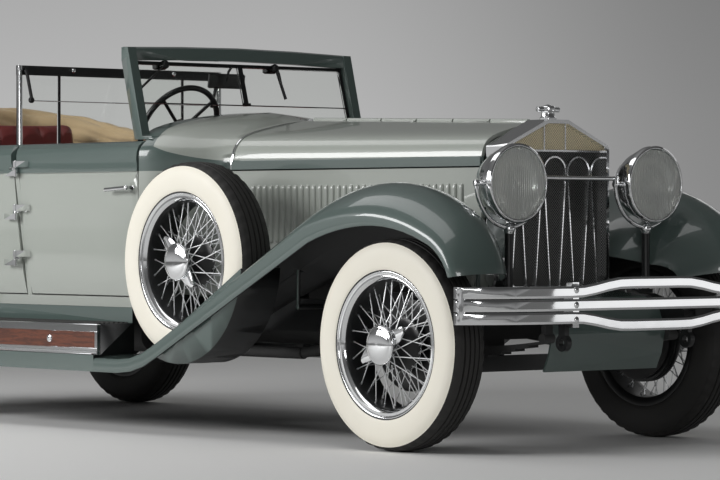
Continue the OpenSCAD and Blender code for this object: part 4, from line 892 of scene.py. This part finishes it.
@dataclass
class WireWheel(Turned):
    """A laced wheel: stepped rim, barrel hub, eared cap and two rows of crossed spokes."""

    ears: float
    drum: bool
    steps: int = 96
    seat: float = 0.2560
    spoke: float = 0.0023
    nipple: float = 0.0036
    spread: float = 0.0045
    rows: tuple[tuple[float, ...], ...] = (
        (28, 0.0560, 0.0835, 0.034, 40.0), (40, 0.1040, -0.0125, -0.022, 24.0))
    ear: Profile = (
        (0.052, -38.0), (0.084, -25.0), (0.110, -15.0), (0.138, -5.0), (0.145, 0.0), (0.142, 5.0),
        (0.120, 8.0), (0.088, 18.0), (0.052, 38.0))
    rim: Profile = (
        (0.2935, 0.0805), (0.2950, 0.0830), (0.2945, 0.0856), (0.2920, 0.0862), (0.2890, 0.0850),
        (0.2868, 0.0815), (0.2780, 0.0796), (0.2755, 0.0808), (0.2728, 0.0806), (0.2705, 0.0780),
        (0.2610, 0.0690), (0.2562, 0.0580), (0.2545, 0.0400), (0.2540, 0.0), (0.2545, -0.0550),
        (0.2580, -0.0740), (0.2760, -0.0852), (0.2935, -0.0860), (0.2940, -0.0800), (0.2820, -0.0640),
        (0.2762, -0.0600), (0.2762, 0.0600), (0.2820, 0.0640))
    hub: Profile = (
        (0.0, -0.040), (0.060, -0.040), (0.100, -0.030), (0.109, -0.022), (0.112, -0.014), (0.109, -0.009),
        (0.098, -0.006), (0.084, 0.004), (0.069, 0.022), (0.059, 0.046), (0.055, 0.066), (0.056, 0.078),
        (0.061, 0.086), (0.061, 0.092), (0.056, 0.097), (0.064, 0.100), (0.077, 0.103), (0.0805, 0.107),
        (0.0808, 0.1115), (0.078, 0.1155), (0.072, 0.1180), (0.0695, 0.1180), (0.066, 0.1205),
        (0.055, 0.1245), (0.040, 0.1275), (0.022, 0.1292), (0.0, 0.1298))
    shell: Profile = (
        (0.0, -0.0400), (0.150, -0.0400), (0.178, -0.0390), (0.186, -0.0430), (0.190, -0.0500),
        (0.190, -0.0600), (0.1865, -0.0620), (0.1865, -0.0680), (0.190, -0.0700), (0.190, -0.0780),
        (0.1865, -0.0800), (0.1865, -0.0860), (0.190, -0.0880), (0.190, -0.0980), (0.178, -0.0980),
        (0.178, -0.0580), (0.0, -0.0580))

    def at(self, radius: float, turn: float, out: float) -> Vector:
        """A point of the wheel, by its radius, degrees from the front upwards, and place along the axle."""
        a = math.radians(turn)
        return Vector(self.centre) + Vector((radius * math.cos(a), self.side * out, radius * math.sin(a)))

    def lace(self, shape: Shape) -> None:
        """Laces both rows of spokes, each with its nipple at the rim.

        Args:
            shape: takes the spokes.
        """
        for count, flange, inner, outer, twist in self.rows:
            for i in range(count):
                way = 1.0 if i % 2 == 0 else -1.0
                a, lift = 360.0 * i / count, way * self.spread
                start = self.at(flange, a, inner + lift)
                end = self.at(self.seat, a + way * twist, outer + lift)
                shape.tube([start, start.lerp(end, 0.5), end], self.spoke, 8)
                shape.tube([start + (end - start) * 0.94, end], self.nipple, 8)

    def wings(self, shape: Shape) -> None:
        """Two swept ears of the wheel nut.

        Args:
            shape: takes the ears.
        """
        for turn in (self.ears, self.ears + 180.0):
            rings = [[self.at(r * k, turn + lean, w) for r, lean in self.ear]
                     for w, k in ((0.0880, 0.92), (0.0895, 1.0), (0.0985, 1.0), (0.1000, 0.92))]
            shape.loft(rings)

    def build(self) -> None:
        """Builds the wheel."""
        axis = (0.0, self.side, 0.0)
        barrel = [2 if 10 <= j < 19 else 0 for j in range(len(self.rim))]
        bell = [2 if j < 3 or 5 <= j < 10 else 0 for j in range(len(self.hub))]
        shape = Shape().lathe(self.rim, self.centre, axis, self.steps, barrel, True)
        shape.lathe(self.hub, self.centre, axis, 64, bell)
        self.wings(shape)
        shape.kind = 1
        self.lace(shape)
        if self.drum:
            shape.kind = 2
            shape.lathe(self.shell, self.centre, axis, 72)
        shape.put(self.name, self.body, self.f.chrome, self.f.spoke, self.f.black, slot="chrome",
                  replaces=[self.node], angle=40.0)


class Wheels(Assembly):
    """Six tyres on laced wheels. EARS is how far the nuts are turned, in degrees."""

    EARS = {"front": 28.0, "rear": 74.0, "spare": 133.0}
    TYRE_HALF = 0.0925

    def build(self) -> None:
        """Fits the wheels and their tyres."""
        for end in ("front", "rear"):
            for side in ("right", "left"):
                low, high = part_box(f"tyre_{end}_{side}")
                centre = tuple((a + b) / 2 for a, b in zip(low, high))
                tyre, wheel = f"tyre_{end}_{side}", f"wheel_{end}_{side}"
                Tyre(self.f, wheel, f"{tyre}_cover", tyre, centre).build()
                WireWheel(self.f, wheel, f"{wheel}_laced", wheel, centre, self.EARS[end], True).build()
        low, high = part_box("spare_tyres")
        reach = max(abs(low[1]), abs(high[1])) - self.TYRE_HALF
        body = body_of(frame["nodes"]["spare_tyres"])[0]
        for side, y in (("right", -reach), ("left", reach)):
            centre = ((low[0] + high[0]) / 2, y, (low[2] + high[2]) / 2)
            Tyre(self.f, body, f"spare_{side}_cover", "spare_tyres", centre).build()
            WireWheel(self.f, body, f"spare_{side}_laced", "spare_wheels", centre, self.EARS["spare"],
                      False).build()


class Louvres(Assembly):
    """Pressed ventilation ribs along both sides of the bonnet."""

    COUNT, FIRST, LAST, LOW, HIGH = 34, 0.686, 1.910, 0.827, 1.078
    HALF_WIDTH, OUT = 0.0135, 0.0105

    @staticmethod
    def side(x: float) -> float:
        """Half width of the bonnet at a place along the car."""
        (rear, wide), (front, narrow) = (0.552, 0.440), (2.024, 0.310)
        return wide + (narrow - wide) * (x - rear) / (front - rear)

    @staticmethod
    def covers(centre: Vector) -> bool:
        """Whether a face of the CAD panel belongs to a rib."""
        return abs(centre.y) > Louvres.side(centre.x) + 0.0006 and 0.82 < centre.z < 1.08

    def build(self) -> None:
        """Presses the ribs and sets a thin black block behind each, painted shade for its opening."""
        ends = ((0.0, 0.15), (0.002, 0.5), (0.006, 0.8), (0.012, 0.96), (0.020, 1.0))
        run = [(self.LOW + d, k) for d, k in ends] + [(self.HIGH - d, k) for d, k in reversed(ends)]
        ribs, slit_shades = Shape(), Shape()
        for i in range(self.COUNT):
            x = self.FIRST + (self.LAST - self.FIRST) * i / (self.COUNT - 1)
            rings = []
            for z, k in run:
                turns = [math.pi * q / 10 for q in range(11)]
                rings.append([(x - self.HALF_WIDTH * math.cos(t) * (0.7 + 0.3 * k),
                               -self.side(x) + 0.001 - self.OUT * k * math.sin(t) ** 0.8, z) for t in turns])
            ribs.loft(rings)
            # A thin black block behind each rib: painted shade where the louvre's opening shows the dark
            # bonnet inside.
            slit_shades.block((x - self.HALF_WIDTH - 0.004, -self.side(x) - 0.0008, self.LOW + 0.012),
                        (x - self.HALF_WIDTH + 0.003, -self.side(x) + 0.003, self.HIGH - 0.012), 0.0003)
        ribs.both().put("bonnet_louvres", self.body, self.f.light, slot="light_paint")
        slit_shades.both().put("louvre_painted_shade", self.body, self.f.black, slot="black_paint")


class FrontEnd(Assembly):
    """Lamps' inner parts, bonnet strap, louvres and bumper bolts."""

    LAMP = Vector((2.33, 0.39, 1.074))
    REAR_X, REAR_HALF, REAR_TOP = 0.552, 0.440, 1.373
    BELT = 1.143
    BOLT, BAR_PITCH = Vector((2.706, -0.44, 0.595)), 0.058

    def bulbs(self) -> None:
        """A bulb in its holder before each reflector."""
        shape = Shape()
        for shape.kind, profile in enumerate((
                [(0.0, -0.116), (0.016, -0.114), (0.016, -0.090), (0.012, -0.084), (0.0, -0.083)],
                [(0.008, -0.083), (0.019, -0.066), (0.022, -0.054), (0.017, -0.040), (0.0, -0.034)])):
            shape.lathe(profile, self.LAMP, (1, 0, 0), 24)
        shape.both().put("lamp_bulbs", self.body, self.f.chrome, self.f.ivory, slot="chrome")

    def strap(self) -> None:
        """Bright band over the joint between bonnet and cowl."""
        h, top, belt = self.REAR_HALF, self.REAR_TOP, self.BELT
        d = top - belt
        curve = [
            (0.03, 0.012), (0.3, 0.09), (0.45, 0.145), (0.6, 0.21), (0.71, 0.26), (0.80, 0.32),
            (0.86, 0.375), (0.90, 0.43), (0.935, 0.50), (0.96, 0.57), (0.985, 0.70), (1.0, 0.82),
            (1.0, 0.985)]
        x = self.REAR_X + 0.001
        shape = Shape()
        path = [(x, -h * y - 0.0025, top - d * z + 0.0025) for y, z in curve]
        shape.tube(path, lambda t: 0.004 + 0.007 * t ** 3, 8, flat=0.4, side=(1, 0, 0))
        shape.both().put("bonnet_strap", self.body, self.f.chrome, slot="chrome")

    def bolts(self) -> None:
        """Domed bolts of the bumper clamps, front and rear."""
        shape = Shape()
        dome = [(0.0, 0.011), (0.008, 0.0095), (0.013, 0.005), (0.0145, 0.0), (0.0145, -0.004)]
        for way in (1.0, -1.0):
            for rise in (-self.BAR_PITCH, 0.0, self.BAR_PITCH):
                shape.lathe(dome, (way * self.BOLT.x, self.BOLT.y, self.BOLT.z + rise), (way, 0, 0), 20)
        shape.both().put("bumper_bolts", self.body, self.f.chrome, slot="chrome")

    def build(self) -> None:
        """Builds the front end's small pieces."""
        self.bulbs()
        self.strap()
        Louvres(self.f, self.body).build()
        self.bolts()


class Stuffing(Enum):
    """Which way a cushion's flutes run: the axis that its sewn side faces, and the flutes' own."""

    FORE_AFT = (2, 0)
    UPRIGHT = (0, 2)


@dataclass
class Cushion(Assembly):
    """A fluted hide cushion, blown up by cloth simulation from a smaller block."""

    name: str
    replaces: str
    low: tuple[float, float, float]
    high: tuple[float, float, float]
    lean: float
    flutes: Stuffing
    edge: float = 0.05
    pitch: float = 0.1
    depth: float = 0.012
    swell: float = 0.022
    voxel: float = 0.014
    margin: float = 0.008
    frames: int = 20
    pressure: float = 4.0

    def block(self) -> bpy.types.Mesh:
        """The block before it is blown up, with rounded edges.

        Returns:
            Its mesh, about the cushion's own middle.
        """
        half = [(h - l) / 2 - self.margin for l, h in zip(self.low, self.high)]
        bm = bmesh.new()
        bmesh.ops.create_cube(bm, size=2.0)
        for v in bm.verts:
            v.co = Vector(c * h for c, h in zip(v.co, half))
        bmesh.ops.bevel(bm, geom=bm.edges[:], offset=min(self.edge, min(half) * 0.8), segments=4, profile=0.5,
                        affect="EDGES")
        mesh = bpy.data.meshes.new(self.name)
        bm.to_mesh(mesh)
        bm.free()
        return mesh

    def blow(self, obj: Obj) -> None:
        """Runs the cloth with air pressure and caps how far a point moves.

        Args:
            obj: the cushion in its own place.
        """
        remesh = obj.modifiers.new("remesh", "REMESH")
        remesh.mode, remesh.voxel_size = "VOXEL", self.voxel
        self.fix(obj)
        rest = self.rows(obj.data, "co")
        cloth = obj.modifiers.new("cloth", "CLOTH")
        cloth.settings.use_pressure, cloth.settings.uniform_pressure_force = True, self.pressure
        cloth.settings.quality = 4
        cloth.settings.effector_weights.gravity = 0.0
        cloth.collision_settings.use_collision = False
        cloth.point_cache.frame_start, cloth.point_cache.frame_end = 1, self.frames
        for step in range(1, self.frames + 1):
            bpy.context.scene.frame_set(step)
        self.fix(obj)
        move = self.rows(obj.data, "co") - rest
        size = np.linalg.norm(move, axis=1, keepdims=True)
        move *= np.minimum(1.0, self.swell / np.maximum(size, 1e-9))
        obj.data.vertices.foreach_set("co", (rest + move).ravel())
        bpy.context.scene.frame_set(1)

    @staticmethod
    def rows(mesh: bpy.types.Mesh, key: str) -> np.ndarray:
        """A vector of every vertex, such as its place or normal.

        Args:
            mesh: the mesh.
            key: Blender's name of the vector.

        Returns:
            One row a vertex.
        """
        values = np.empty(len(mesh.vertices) * 3)
        mesh.vertices.foreach_get(key, values)
        return values.reshape(-1, 3)

    @staticmethod
    def fix(obj: Obj) -> None:
        """Applies the object's modifiers to its mesh."""
        graph = bpy.context.evaluated_depsgraph_get()
        mesh = bpy.data.meshes.new_from_object(obj.evaluated_get(graph))
        obj.modifiers.clear()
        obj.data = mesh

    def sew(self, mesh: bpy.types.Mesh) -> None:
        """Sinks the sewn channels and presses in the piped border.

        Args:
            mesh: the blown cushion about its own middle.
        """
        co, no = self.rows(mesh, "co"), self.rows(mesh, "normal")
        half = np.array([(h - l) / 2 for l, h in zip(self.low, self.high)])
        u, (top, along) = co / half, self.flutes.value
        phase = np.abs(np.sin(np.pi * co[:, 1] / self.pitch))
        face, long = np.abs(no[:, top]), np.abs(u[:, along])
        inside = np.clip((0.88 - long) / 0.08, 0, 1) * np.clip((0.94 - np.abs(u[:, 1])) / 0.05, 0, 1)
        sink = self.depth * (1 - phase ** 0.45) * np.clip(face * 1.6 - 0.3, 0, 1) * inside
        ridge = 0.006 * np.exp(-((long - 0.90) / 0.03) ** 2) * face
        co -= no * (sink + ridge)[:, None]
        np.clip(co, -half, half, out=co)
        mesh.vertices.foreach_set("co", co.ravel())

    def build(self) -> None:
        """Builds the cushion."""
        obj = bpy.data.objects.new(self.name + "_work", self.block())
        bpy.context.scene.collection.objects.link(obj)
        self.blow(obj)
        sub = obj.modifiers.new("finer", "SUBSURF")
        sub.levels = sub.render_levels = 1
        self.fix(obj)
        mesh = obj.data
        self.sew(mesh)
        bpy.data.objects.remove(obj)
        middle = [(l + h) / 2 for l, h in zip(self.low, self.high)]
        mesh.transform(Matrix.Translation(middle) @ Matrix.Rotation(math.radians(self.lean), 4, "Y"))
        mesh.materials.clear()
        mesh.materials.append(self.f.leather)
        made = settle(self.name, mesh, self.body, [self.replaces], 80.0)


class Cabin(Assembly):
    """Seats, dash, partition trim, windscreen fittings and the folded top."""

    def seats(self) -> None:
        """Both seats: a bottom and a back cushion each, on hide-covered plinths."""
        for row in (
                ("front_cushion", "front_seat", (-0.800, -0.595, 0.746), (-0.250, 0.595, 0.962), 0.0,
                 Stuffing.FORE_AFT),
                ("front_back", "front_seat", (-0.822, -0.595, 0.930), (-0.700, 0.595, 1.300), -7.0,
                 Stuffing.UPRIGHT, 0.045),
                ("rear_cushion", "rear_seat", (-1.900, -0.500, 0.756), (-1.365, 0.500, 0.972), 0.0,
                 Stuffing.FORE_AFT),
                ("rear_back", "rear_seat", (-1.975, -0.500, 0.950), (-1.835, 0.500, 1.436), -7.0,
                 Stuffing.UPRIGHT, 0.055, 0.125, 0.02)):
            Cushion(self.f, self.body, *row).build()
        for name, low, high in (("front_plinth", (-0.780, -0.590, 0.6145), (-0.290, 0.590, 0.752)),
                                ("rear_plinth", (-1.900, -0.495, 0.7225), (-1.390, 0.495, 0.762))):
            Shape().block(low, high, 0.012).put(name, self.body, self.f.leather, slot="leather")

    @staticmethod
    def top_line() -> list[tuple[float, Vector]]:
        """The folded top's middle line, from the right side round the back to the left.

        Returns:
            Points of a smooth curve, each with its place counted in knots.
        """
        cx, cy, r, between = -1.941, 0.300, 0.350, 6
        right = [(x, -cy - r) for x in (-1.56, -1.64, -1.74, -1.85)]
        right += [(cx - r * math.sin(a), -cy - r * math.cos(a)) for a in map(math.radians, range(0, 91, 15))]
        right += [(cx - r, -0.15)]
        path = right + [(cx - r, 0.0)] + [(x, -y) for x, y in reversed(right)]
        line = [Vector((x, y, 0.0)) for x, y in path]
        last, fine = len(line) - 1, []
        for i in range(last):
            a, p, q, d = line[max(i - 1, 0)], line[i], line[i + 1], line[min(i + 2, last)]
            for t in (s / between for s in range(between)):
                fine.append((i + t, ((2 * p) + (q - a) * t + (2 * a - 5 * p + 4 * q - d) * t * t
                                     + (3 * p - a - 3 * q + d) * t * t * t) / 2))
        return [*fine, (float(last), line[-1])]

    def top(self) -> None:
        """The folded top: canvas in soft folds round the back of the body."""
        fine, rings, sides, rail = self.top_line(), [], 56, 1.2775
        for i, (place, p) in enumerate(fine):
            ahead = (fine[min(i + 1, len(fine) - 1)][1] - fine[max(i - 1, 0)][1]).normalized()
            out = Vector((ahead.y, -ahead.x, 0.0))
            k = math.sin(math.pi * place / fine[-1][0])
            w, h = 0.042 + 0.038 * k, 0.048 + 0.074 * k
            ring = []
            for t in (2 * math.pi * q / sides for q in range(sides)):
                fold = 0.5 + 0.5 * math.sin(7 * t + 1.3 * math.sin(place * 0.9) + place * 0.35)
                wave = 0.5 + 0.5 * math.sin(place * 2.7 + 3 * math.sin(t * 2 + place * 0.4))
                s = (1 - 0.12 * fold ** 3) * (1 - 0.07 * wave) * (1.0 if math.sin(t) > -0.75 else 0.985)
                ring.append(p + out * (w * s * math.cos(t)) + Vector((0, 0, rail + h + h * s * math.sin(t))))
            rings.append(ring)
        for end in (0, -1):
            middle = sum(rings[end], Vector()) / sides
            rings[end] = [middle + (v - middle) * 0.55 for v in rings[end]]
        shape = Shape().loft(rings)
        made = shape.put("canvas_top", self.body, self.f.canvas, slot="canvas", replaces=["folded_top"],
                         angle=80.0)

    def screen(self) -> None:
        """Windscreen fittings: wipers under the header and the mirror."""
        lean = math.radians(16.0)
        foot = Vector((0.152, 0.0, 1.285))
        up = Vector((-math.sin(lean), 0.0, math.cos(lean)))
        out = Vector((math.cos(lean), 0.0, math.sin(lean)))

        def at(y: float, v: float, o: float) -> Vector:
            """A point of the screen: across, up its slope and out of its plane."""
            return foot + up * v + out * o + Vector((0.0, y, 0.0))
        shape = Shape()
        top = 0.352
        for y, swing in ((-0.437, -0.16), (0.20, 0.02)):
            shape.lathe([(0.0, 0.018), (0.012, 0.016), (0.020, 0.006), (0.021, -0.016)],
                        at(y, top, 0.012), out, 20)
            shape.block((-0.018, -0.030, -0.016), (0.018, 0.030, 0.016), 0.006,
                        Matrix.Translation(at(y, top + 0.004, -0.03)))
            tip = at(y + swing, top - 0.115, 0.018)
            shape.tube([at(y, top, 0.026), at(y + swing * 0.3, top - 0.03, 0.03), tip], 0.0035, 8)
            side = (tip - at(y, top, 0.018)).normalized()
            shape.tube([tip - side * 0.10, tip - side * 0.03, tip + side * 0.035], 0.0055, 8, flat=1.6,
                       side=(0, 1, 0))
        shape.put("wipers", self.body, self.f.black, slot="black_paint")
        mirror = Shape()
        c = at(-0.02, 0.315, -0.085)
        tilt = Matrix.Translation(c) @ Matrix.Rotation(math.radians(8), 4, "Y")
        mirror.block((-0.008, -0.105, -0.034), (0.006, 0.105, 0.034), 0.006, tilt)
        mirror.tube([at(-0.02, 0.372, -0.02), at(-0.02, 0.352, -0.06), c + Vector((0.004, 0, 0))], 0.006, 10)
        mirror.kind = 1
        mirror.block((-0.0095, -0.099, -0.029), (-0.0078, 0.099, 0.029), 0.0006, tilt)
        mirror.put("mirror", self.body, self.f.black, self.f.chrome, slot="black_paint")

    def partition(self) -> None:
        """Fittings of the partition: stays, the lowered glass's bright edge and knobs."""
        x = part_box("partition")[1][0]
        fit = Shape()
        fit.tube([(x + 0.002, -0.570, 1.630), (x + 0.006, -0.560, 1.600), (x + 0.006, -0.536, 1.492)],
                 0.008, 10)
        fit.lathe([(0.0, 0.010), (0.010, 0.009), (0.014, 0.004), (0.014, -0.006)], (x + 0.004, -0.536, 1.489),
                  (1, 0, 0), 20)
        fit.kind = 1
        fit.lathe([(0.0, 0.014), (0.007, 0.013), (0.011, 0.009), (0.012, 0.003), (0.009, -0.004)],
                  (x, -0.297, 1.632), (1, 0, 0), 24)
        fit.tube([(x + 0.003, -0.536, 1.486), (x + 0.003, 0.0, 1.486)], 0.0024, 8)
        fit.both().put("partition_fittings", self.body, self.f.black, self.f.chrome, slot="black_paint")

    def dash(self) -> None:
        """Dials on the dash, pedals, hand lever and gear lever."""
        x = 0.2185
        dials = Shape()
        for y, z, r in ((-0.27, 1.262, 0.058), (-0.13, 1.262, 0.058),
                        (0.0, 1.268, 0.040), (0.10, 1.268, 0.040), (0.20, 1.268, 0.040)):
            dials.kind = 0
            dials.lathe([(r, -0.001), (r, 0.008), (r - 0.003, 0.011), (r - 0.008, 0.011), (r - 0.010, 0.006)],
                        (x, y, z), (-1, 0, 0), 40)
            dials.kind = 1
            dials.lathe([(r - 0.009, 0.0035), (r - 0.02, 0.0036), (0.0, 0.0037)], (x, y, z), (-1, 0, 0), 40)
            dials.kind = 2
            for t in map(math.radians, range(-120, 121, 30)):
                way = Vector((0.0, math.sin(t), math.cos(t))) * r
                dials.tube([Vector((x - 0.0045, y, z)) + way * k for k in (0.58, 0.72)], 0.0012, 6)
            dials.tube([(x - 0.006, y, z), (x - 0.006, y - r * 0.3, z + r * 0.42)], 0.0016, 6)
        dials.put("dash_dials", self.body, self.f.chrome, self.f.ivory, self.f.black, slot="chrome")
        levers = Shape()
        levers.tube([(0.16, -0.02, 0.622), (0.13, -0.02, 0.72), (0.06, -0.02, 0.86), (-0.03, -0.02, 0.955),
                     (-0.065, -0.02, 1.01)], 0.0085, 12)
        levers.tube([(0.18, 0.11, 0.622), (0.12, 0.11, 0.74), (0.04, 0.11, 0.88)], 0.008, 12)
        knob = [(0.0, -0.026), (0.014, -0.022), (0.023, -0.006), (0.023, 0.006), (0.014, 0.022), (0.0, 0.026)]
        levers.lathe(knob, (-0.07, -0.02, 1.02), (0, 0, 1), 24)
        for y in (-0.36, -0.24, -0.13):
            levers.tube([(0.30, y, 0.66), (0.24, y, 0.70), (0.205, y, 0.735)], 0.009, 10)
            levers.block((-0.008, -0.036, -0.042), (0.008, 0.036, 0.042), 0.005,
                         Matrix.Translation((0.198, y, 0.745)) @ Matrix.Rotation(math.radians(-38), 4, "Y"))
        levers.put("levers_and_pedals", self.body, self.f.black, slot="black_paint")

    def build(self) -> None:
        """Builds the cabin's pieces."""
        self.seats()
        self.top()
        self.screen()
        self.partition()
        self.dash()


class Boards(Assembly):
    """Running boards' trim: bright frames round the timber, locks and ribbed rubber."""

    def build(self) -> None:
        """Builds the trim of both boards."""
        low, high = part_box("step_fascias")
        face = low[1]
        x0, x1, z0, z1 = low[0], high[0], low[2], high[2]
        trim = Shape()
        left, right = x0 - 0.012, x1 + 0.012
        for a, b, c, d in ((left, right, z1 - 0.004, z1 + 0.032), (left, right, z0 - 0.030, z0 + 0.004),
                           (left, x0 + 0.006, z0, z1), (x1 - 0.006, right, z0, z1)):
            trim.block((a, face - 0.006, c), (b, face + 0.020, d), 0.003)
        trim.block((-1.146, -0.8845, 0.3352), (0.118, -0.862, 0.341), 0.002)
        for z in (z0 - 0.019, z0 - 0.011):
            trim.tube([(x0 - 0.01, face - 0.0065, z), (x1 + 0.01, face - 0.0065, z)], 0.0025, 8)
        for x in (x0 + 0.30, x1 - 0.35):
            trim.lathe([(0.0, 0.010), (0.010, 0.009), (0.016, 0.006), (0.019, 0.0), (0.019, -0.004)],
                       (x, face, (z0 + z1) / 2), (0, -1, 0), 32)
        trim.both().put("board_trim", self.body, self.f.chrome, slot="chrome")
        ribs = Shape()
        for k in range(7):
            y = -0.668 - 0.026 * k
            ribs.tube([(x0 + 0.02, y, 0.4725), (x1 - 0.02, y, 0.4725)], 0.006, 8, flat=0.5, side=(0, 1, 0))
        ribs.both().put("tread_ribs", self.body, self.f.rubber, slot="tyre")


@dataclass(frozen=True)
class FloorSheet(Finish):
    """Pale studio floor."""

    def look(self, net: Net) -> Look:
        """The sheet."""
        tone = net.noise(0.6, 3.0)
        return dict(Base_Color=net.mix(tone * 0.3, srgb(232, 232, 231), srgb(226, 226, 225)),
                    Roughness=0.75 + tone * 0.1)


class Studio:
    """Floor, light and camera."""

    EYE = Vector((12.2506, -9.7558, 0.9157))
    TURN = math.radians(49.318)
    PITCH = math.radians(-0.289)
    LENS = 170.5
    FLOOR = 60.0

    def camera(self) -> None:
        """Sets the camera where the photograph was taken from."""
        data = bpy.data.cameras.new("view")
        data.sensor_width, data.lens, data.clip_end = 36.0, self.LENS, 200.0
        level = math.cos(self.PITCH)
        look = Vector((-math.sin(self.TURN) * level, math.cos(self.TURN) * level, math.sin(self.PITCH)))
        bpy.context.scene.camera = self.hang("view", data, self.EYE, look)

    @staticmethod
    def hang(name: str, data: bpy.types.ID, place: Vector, look: Vector) -> Obj:
        """Hangs up a camera or lamp.

        Args:
            name: the object's name.
            data: its camera or lamp.
            place: where it hangs.
            look: the direction that it faces.

        Returns:
            The object.
        """
        obj = bpy.data.objects.new(name, data)
        obj.location, obj.rotation_mode = place, "QUATERNION"
        obj.rotation_quaternion = look.to_track_quat("-Z", "Y")
        bpy.context.scene.collection.objects.link(obj)
        return obj

    def floor(self) -> None:
        """Lays a pale floor."""
        mesh = bpy.data.meshes.new("floor")
        r = self.FLOOR
        mesh.from_pydata([(-r, -r, 0), (r, -r, 0), (r, r, 0), (-r, r, 0)], [], [(0, 1, 2, 3)])
        mesh.materials.append(FloorSheet("floor_sheet").material())
        obj = bpy.data.objects.new("floor", mesh)
        bpy.context.scene.collection.objects.link(obj)

    def light(self) -> None:
        """Hangs the soft boxes."""
        for name, place, aim, size, power in (
                ("over", (-0.4, -1.6, 5.6), (-0.2, -0.6, 0.0), (8.0, 2.0), 70.0),
                ("side", (-2.6, -8.0, 3.9), (-0.2, 0.0, 0.8), (7.0, 3.0), 560.0),
                ("front", (9.4, 7.6, 0.72), (2.6, 0.0, 0.6), (6.0, 1.2), 20.0),
                ("lens", (10.0, -5.4, 2.6), (2.4, 0.0, 1.0), (2.4, 1.6), 80.0),
                ("fill", (-2.0, 9.0, 4.2), (0.0, 0.0, 0.8), (7.0, 3.0), 45.0)):
            data = bpy.data.lights.new(name, "AREA")
            data.shape, data.size, data.size_y, data.energy = "RECTANGLE", *size, power
            self.hang(name, data, Vector(place), Vector(aim) - Vector(place))

    def room(self) -> None:
        """Sets the world: a dim room, and the wall that the camera, plate and glass see."""
        net = Net(bpy.data.worlds.new("studio"))
        way = net.node("ShaderNodeTexCoord", out="Generated")
        height = net.node("ShaderNodeSeparateXYZ", inputs={0: way}, out="Z")
        across = net.node("ShaderNodeVectorMath", {"operation": "DOT_PRODUCT"},
                          {0: way, 1: (math.cos(self.TURN), math.sin(self.TURN), 0.0)}, "Value")
        fade = net.node("ShaderNodeMapRange", {"interpolation_type": "SMOOTHSTEP"}, {
            "Value": across, "From Min": -0.03, "From Max": 0.12, "To Min": 1.0, "To Max": 0.5})
        shades = []
        for strength, stops in (
                (1.0, ((0.0, 0.03), (0.16, 0.04), (0.5, 0.13), (1.0, 0.18))),
                (fade, ((0.0, 0.50), (0.03, 0.47), (0.09, 0.36), (0.2, 0.14), (0.45, 0.10), (1.0, 0.22)))):
            greys = [(place, (grey,) * 3) for place, grey in stops]
            ramp = net.node("ShaderNodeValToRGB", {"stops": greys}, {0: height})
            shades.append(net.node("ShaderNodeBackground", inputs={"Color": ramp, "Strength": strength}))
        seen = net.node("ShaderNodeLightPath", out="Is Camera Ray")
        for ray in ("Is Glossy Ray", "Is Transmission Ray"):
            seen = seen.call("MAXIMUM", net.node("ShaderNodeLightPath", out=ray))
        net.end(net.node("ShaderNodeMixShader", inputs={0: seen, 1: shades[0], 2: shades[1]}),
                "ShaderNodeOutputWorld")
        scene = bpy.context.scene
        scene.world = net.owner
        scene.view_settings.view_transform = "Standard"


def repaint(finishes: Finishes) -> None:
    """Gives the CAD nodes that stay their finish.

    Args:
        finishes: the car's finishes.
    """
    f = finishes
    chosen: dict[str, Mat] = {
        "radiator_grille": f.core, "lamp_lenses": f.lens, "glass_panes": f.pane, "step_fascias": f.wood,
        "dashboard": f.dash, "tail_lamps": f.red, "bonnet_rod": f.chrome,
        "engine": f.iron, "leaf_springs": f.iron, "exhaust": f.iron, "knuckle_right": f.iron,
        "knuckle_left": f.iron, "tie_rod": f.iron}
    for name, node in frame["nodes"].items():
        node.data.materials.clear()
        node.data.materials.append(chosen.get(name, f.black))


def main() -> None:
    """Builds the scene."""
    logging.basicConfig(level=logging.INFO, format="%(message)s")
    studio = Studio()
    studio.camera()
    studio.floor()
    studio.light()
    studio.room()
    finishes = Finishes()
    repaint(finishes)
    fixed = body_of(frame["nodes"]["chassis_frame"])[0]
    for assembly in (Bodywork, Wheels, FrontEnd, Boards, Cabin):
        assembly(finishes, fixed).build()


if __name__ == "__main__":
    main()
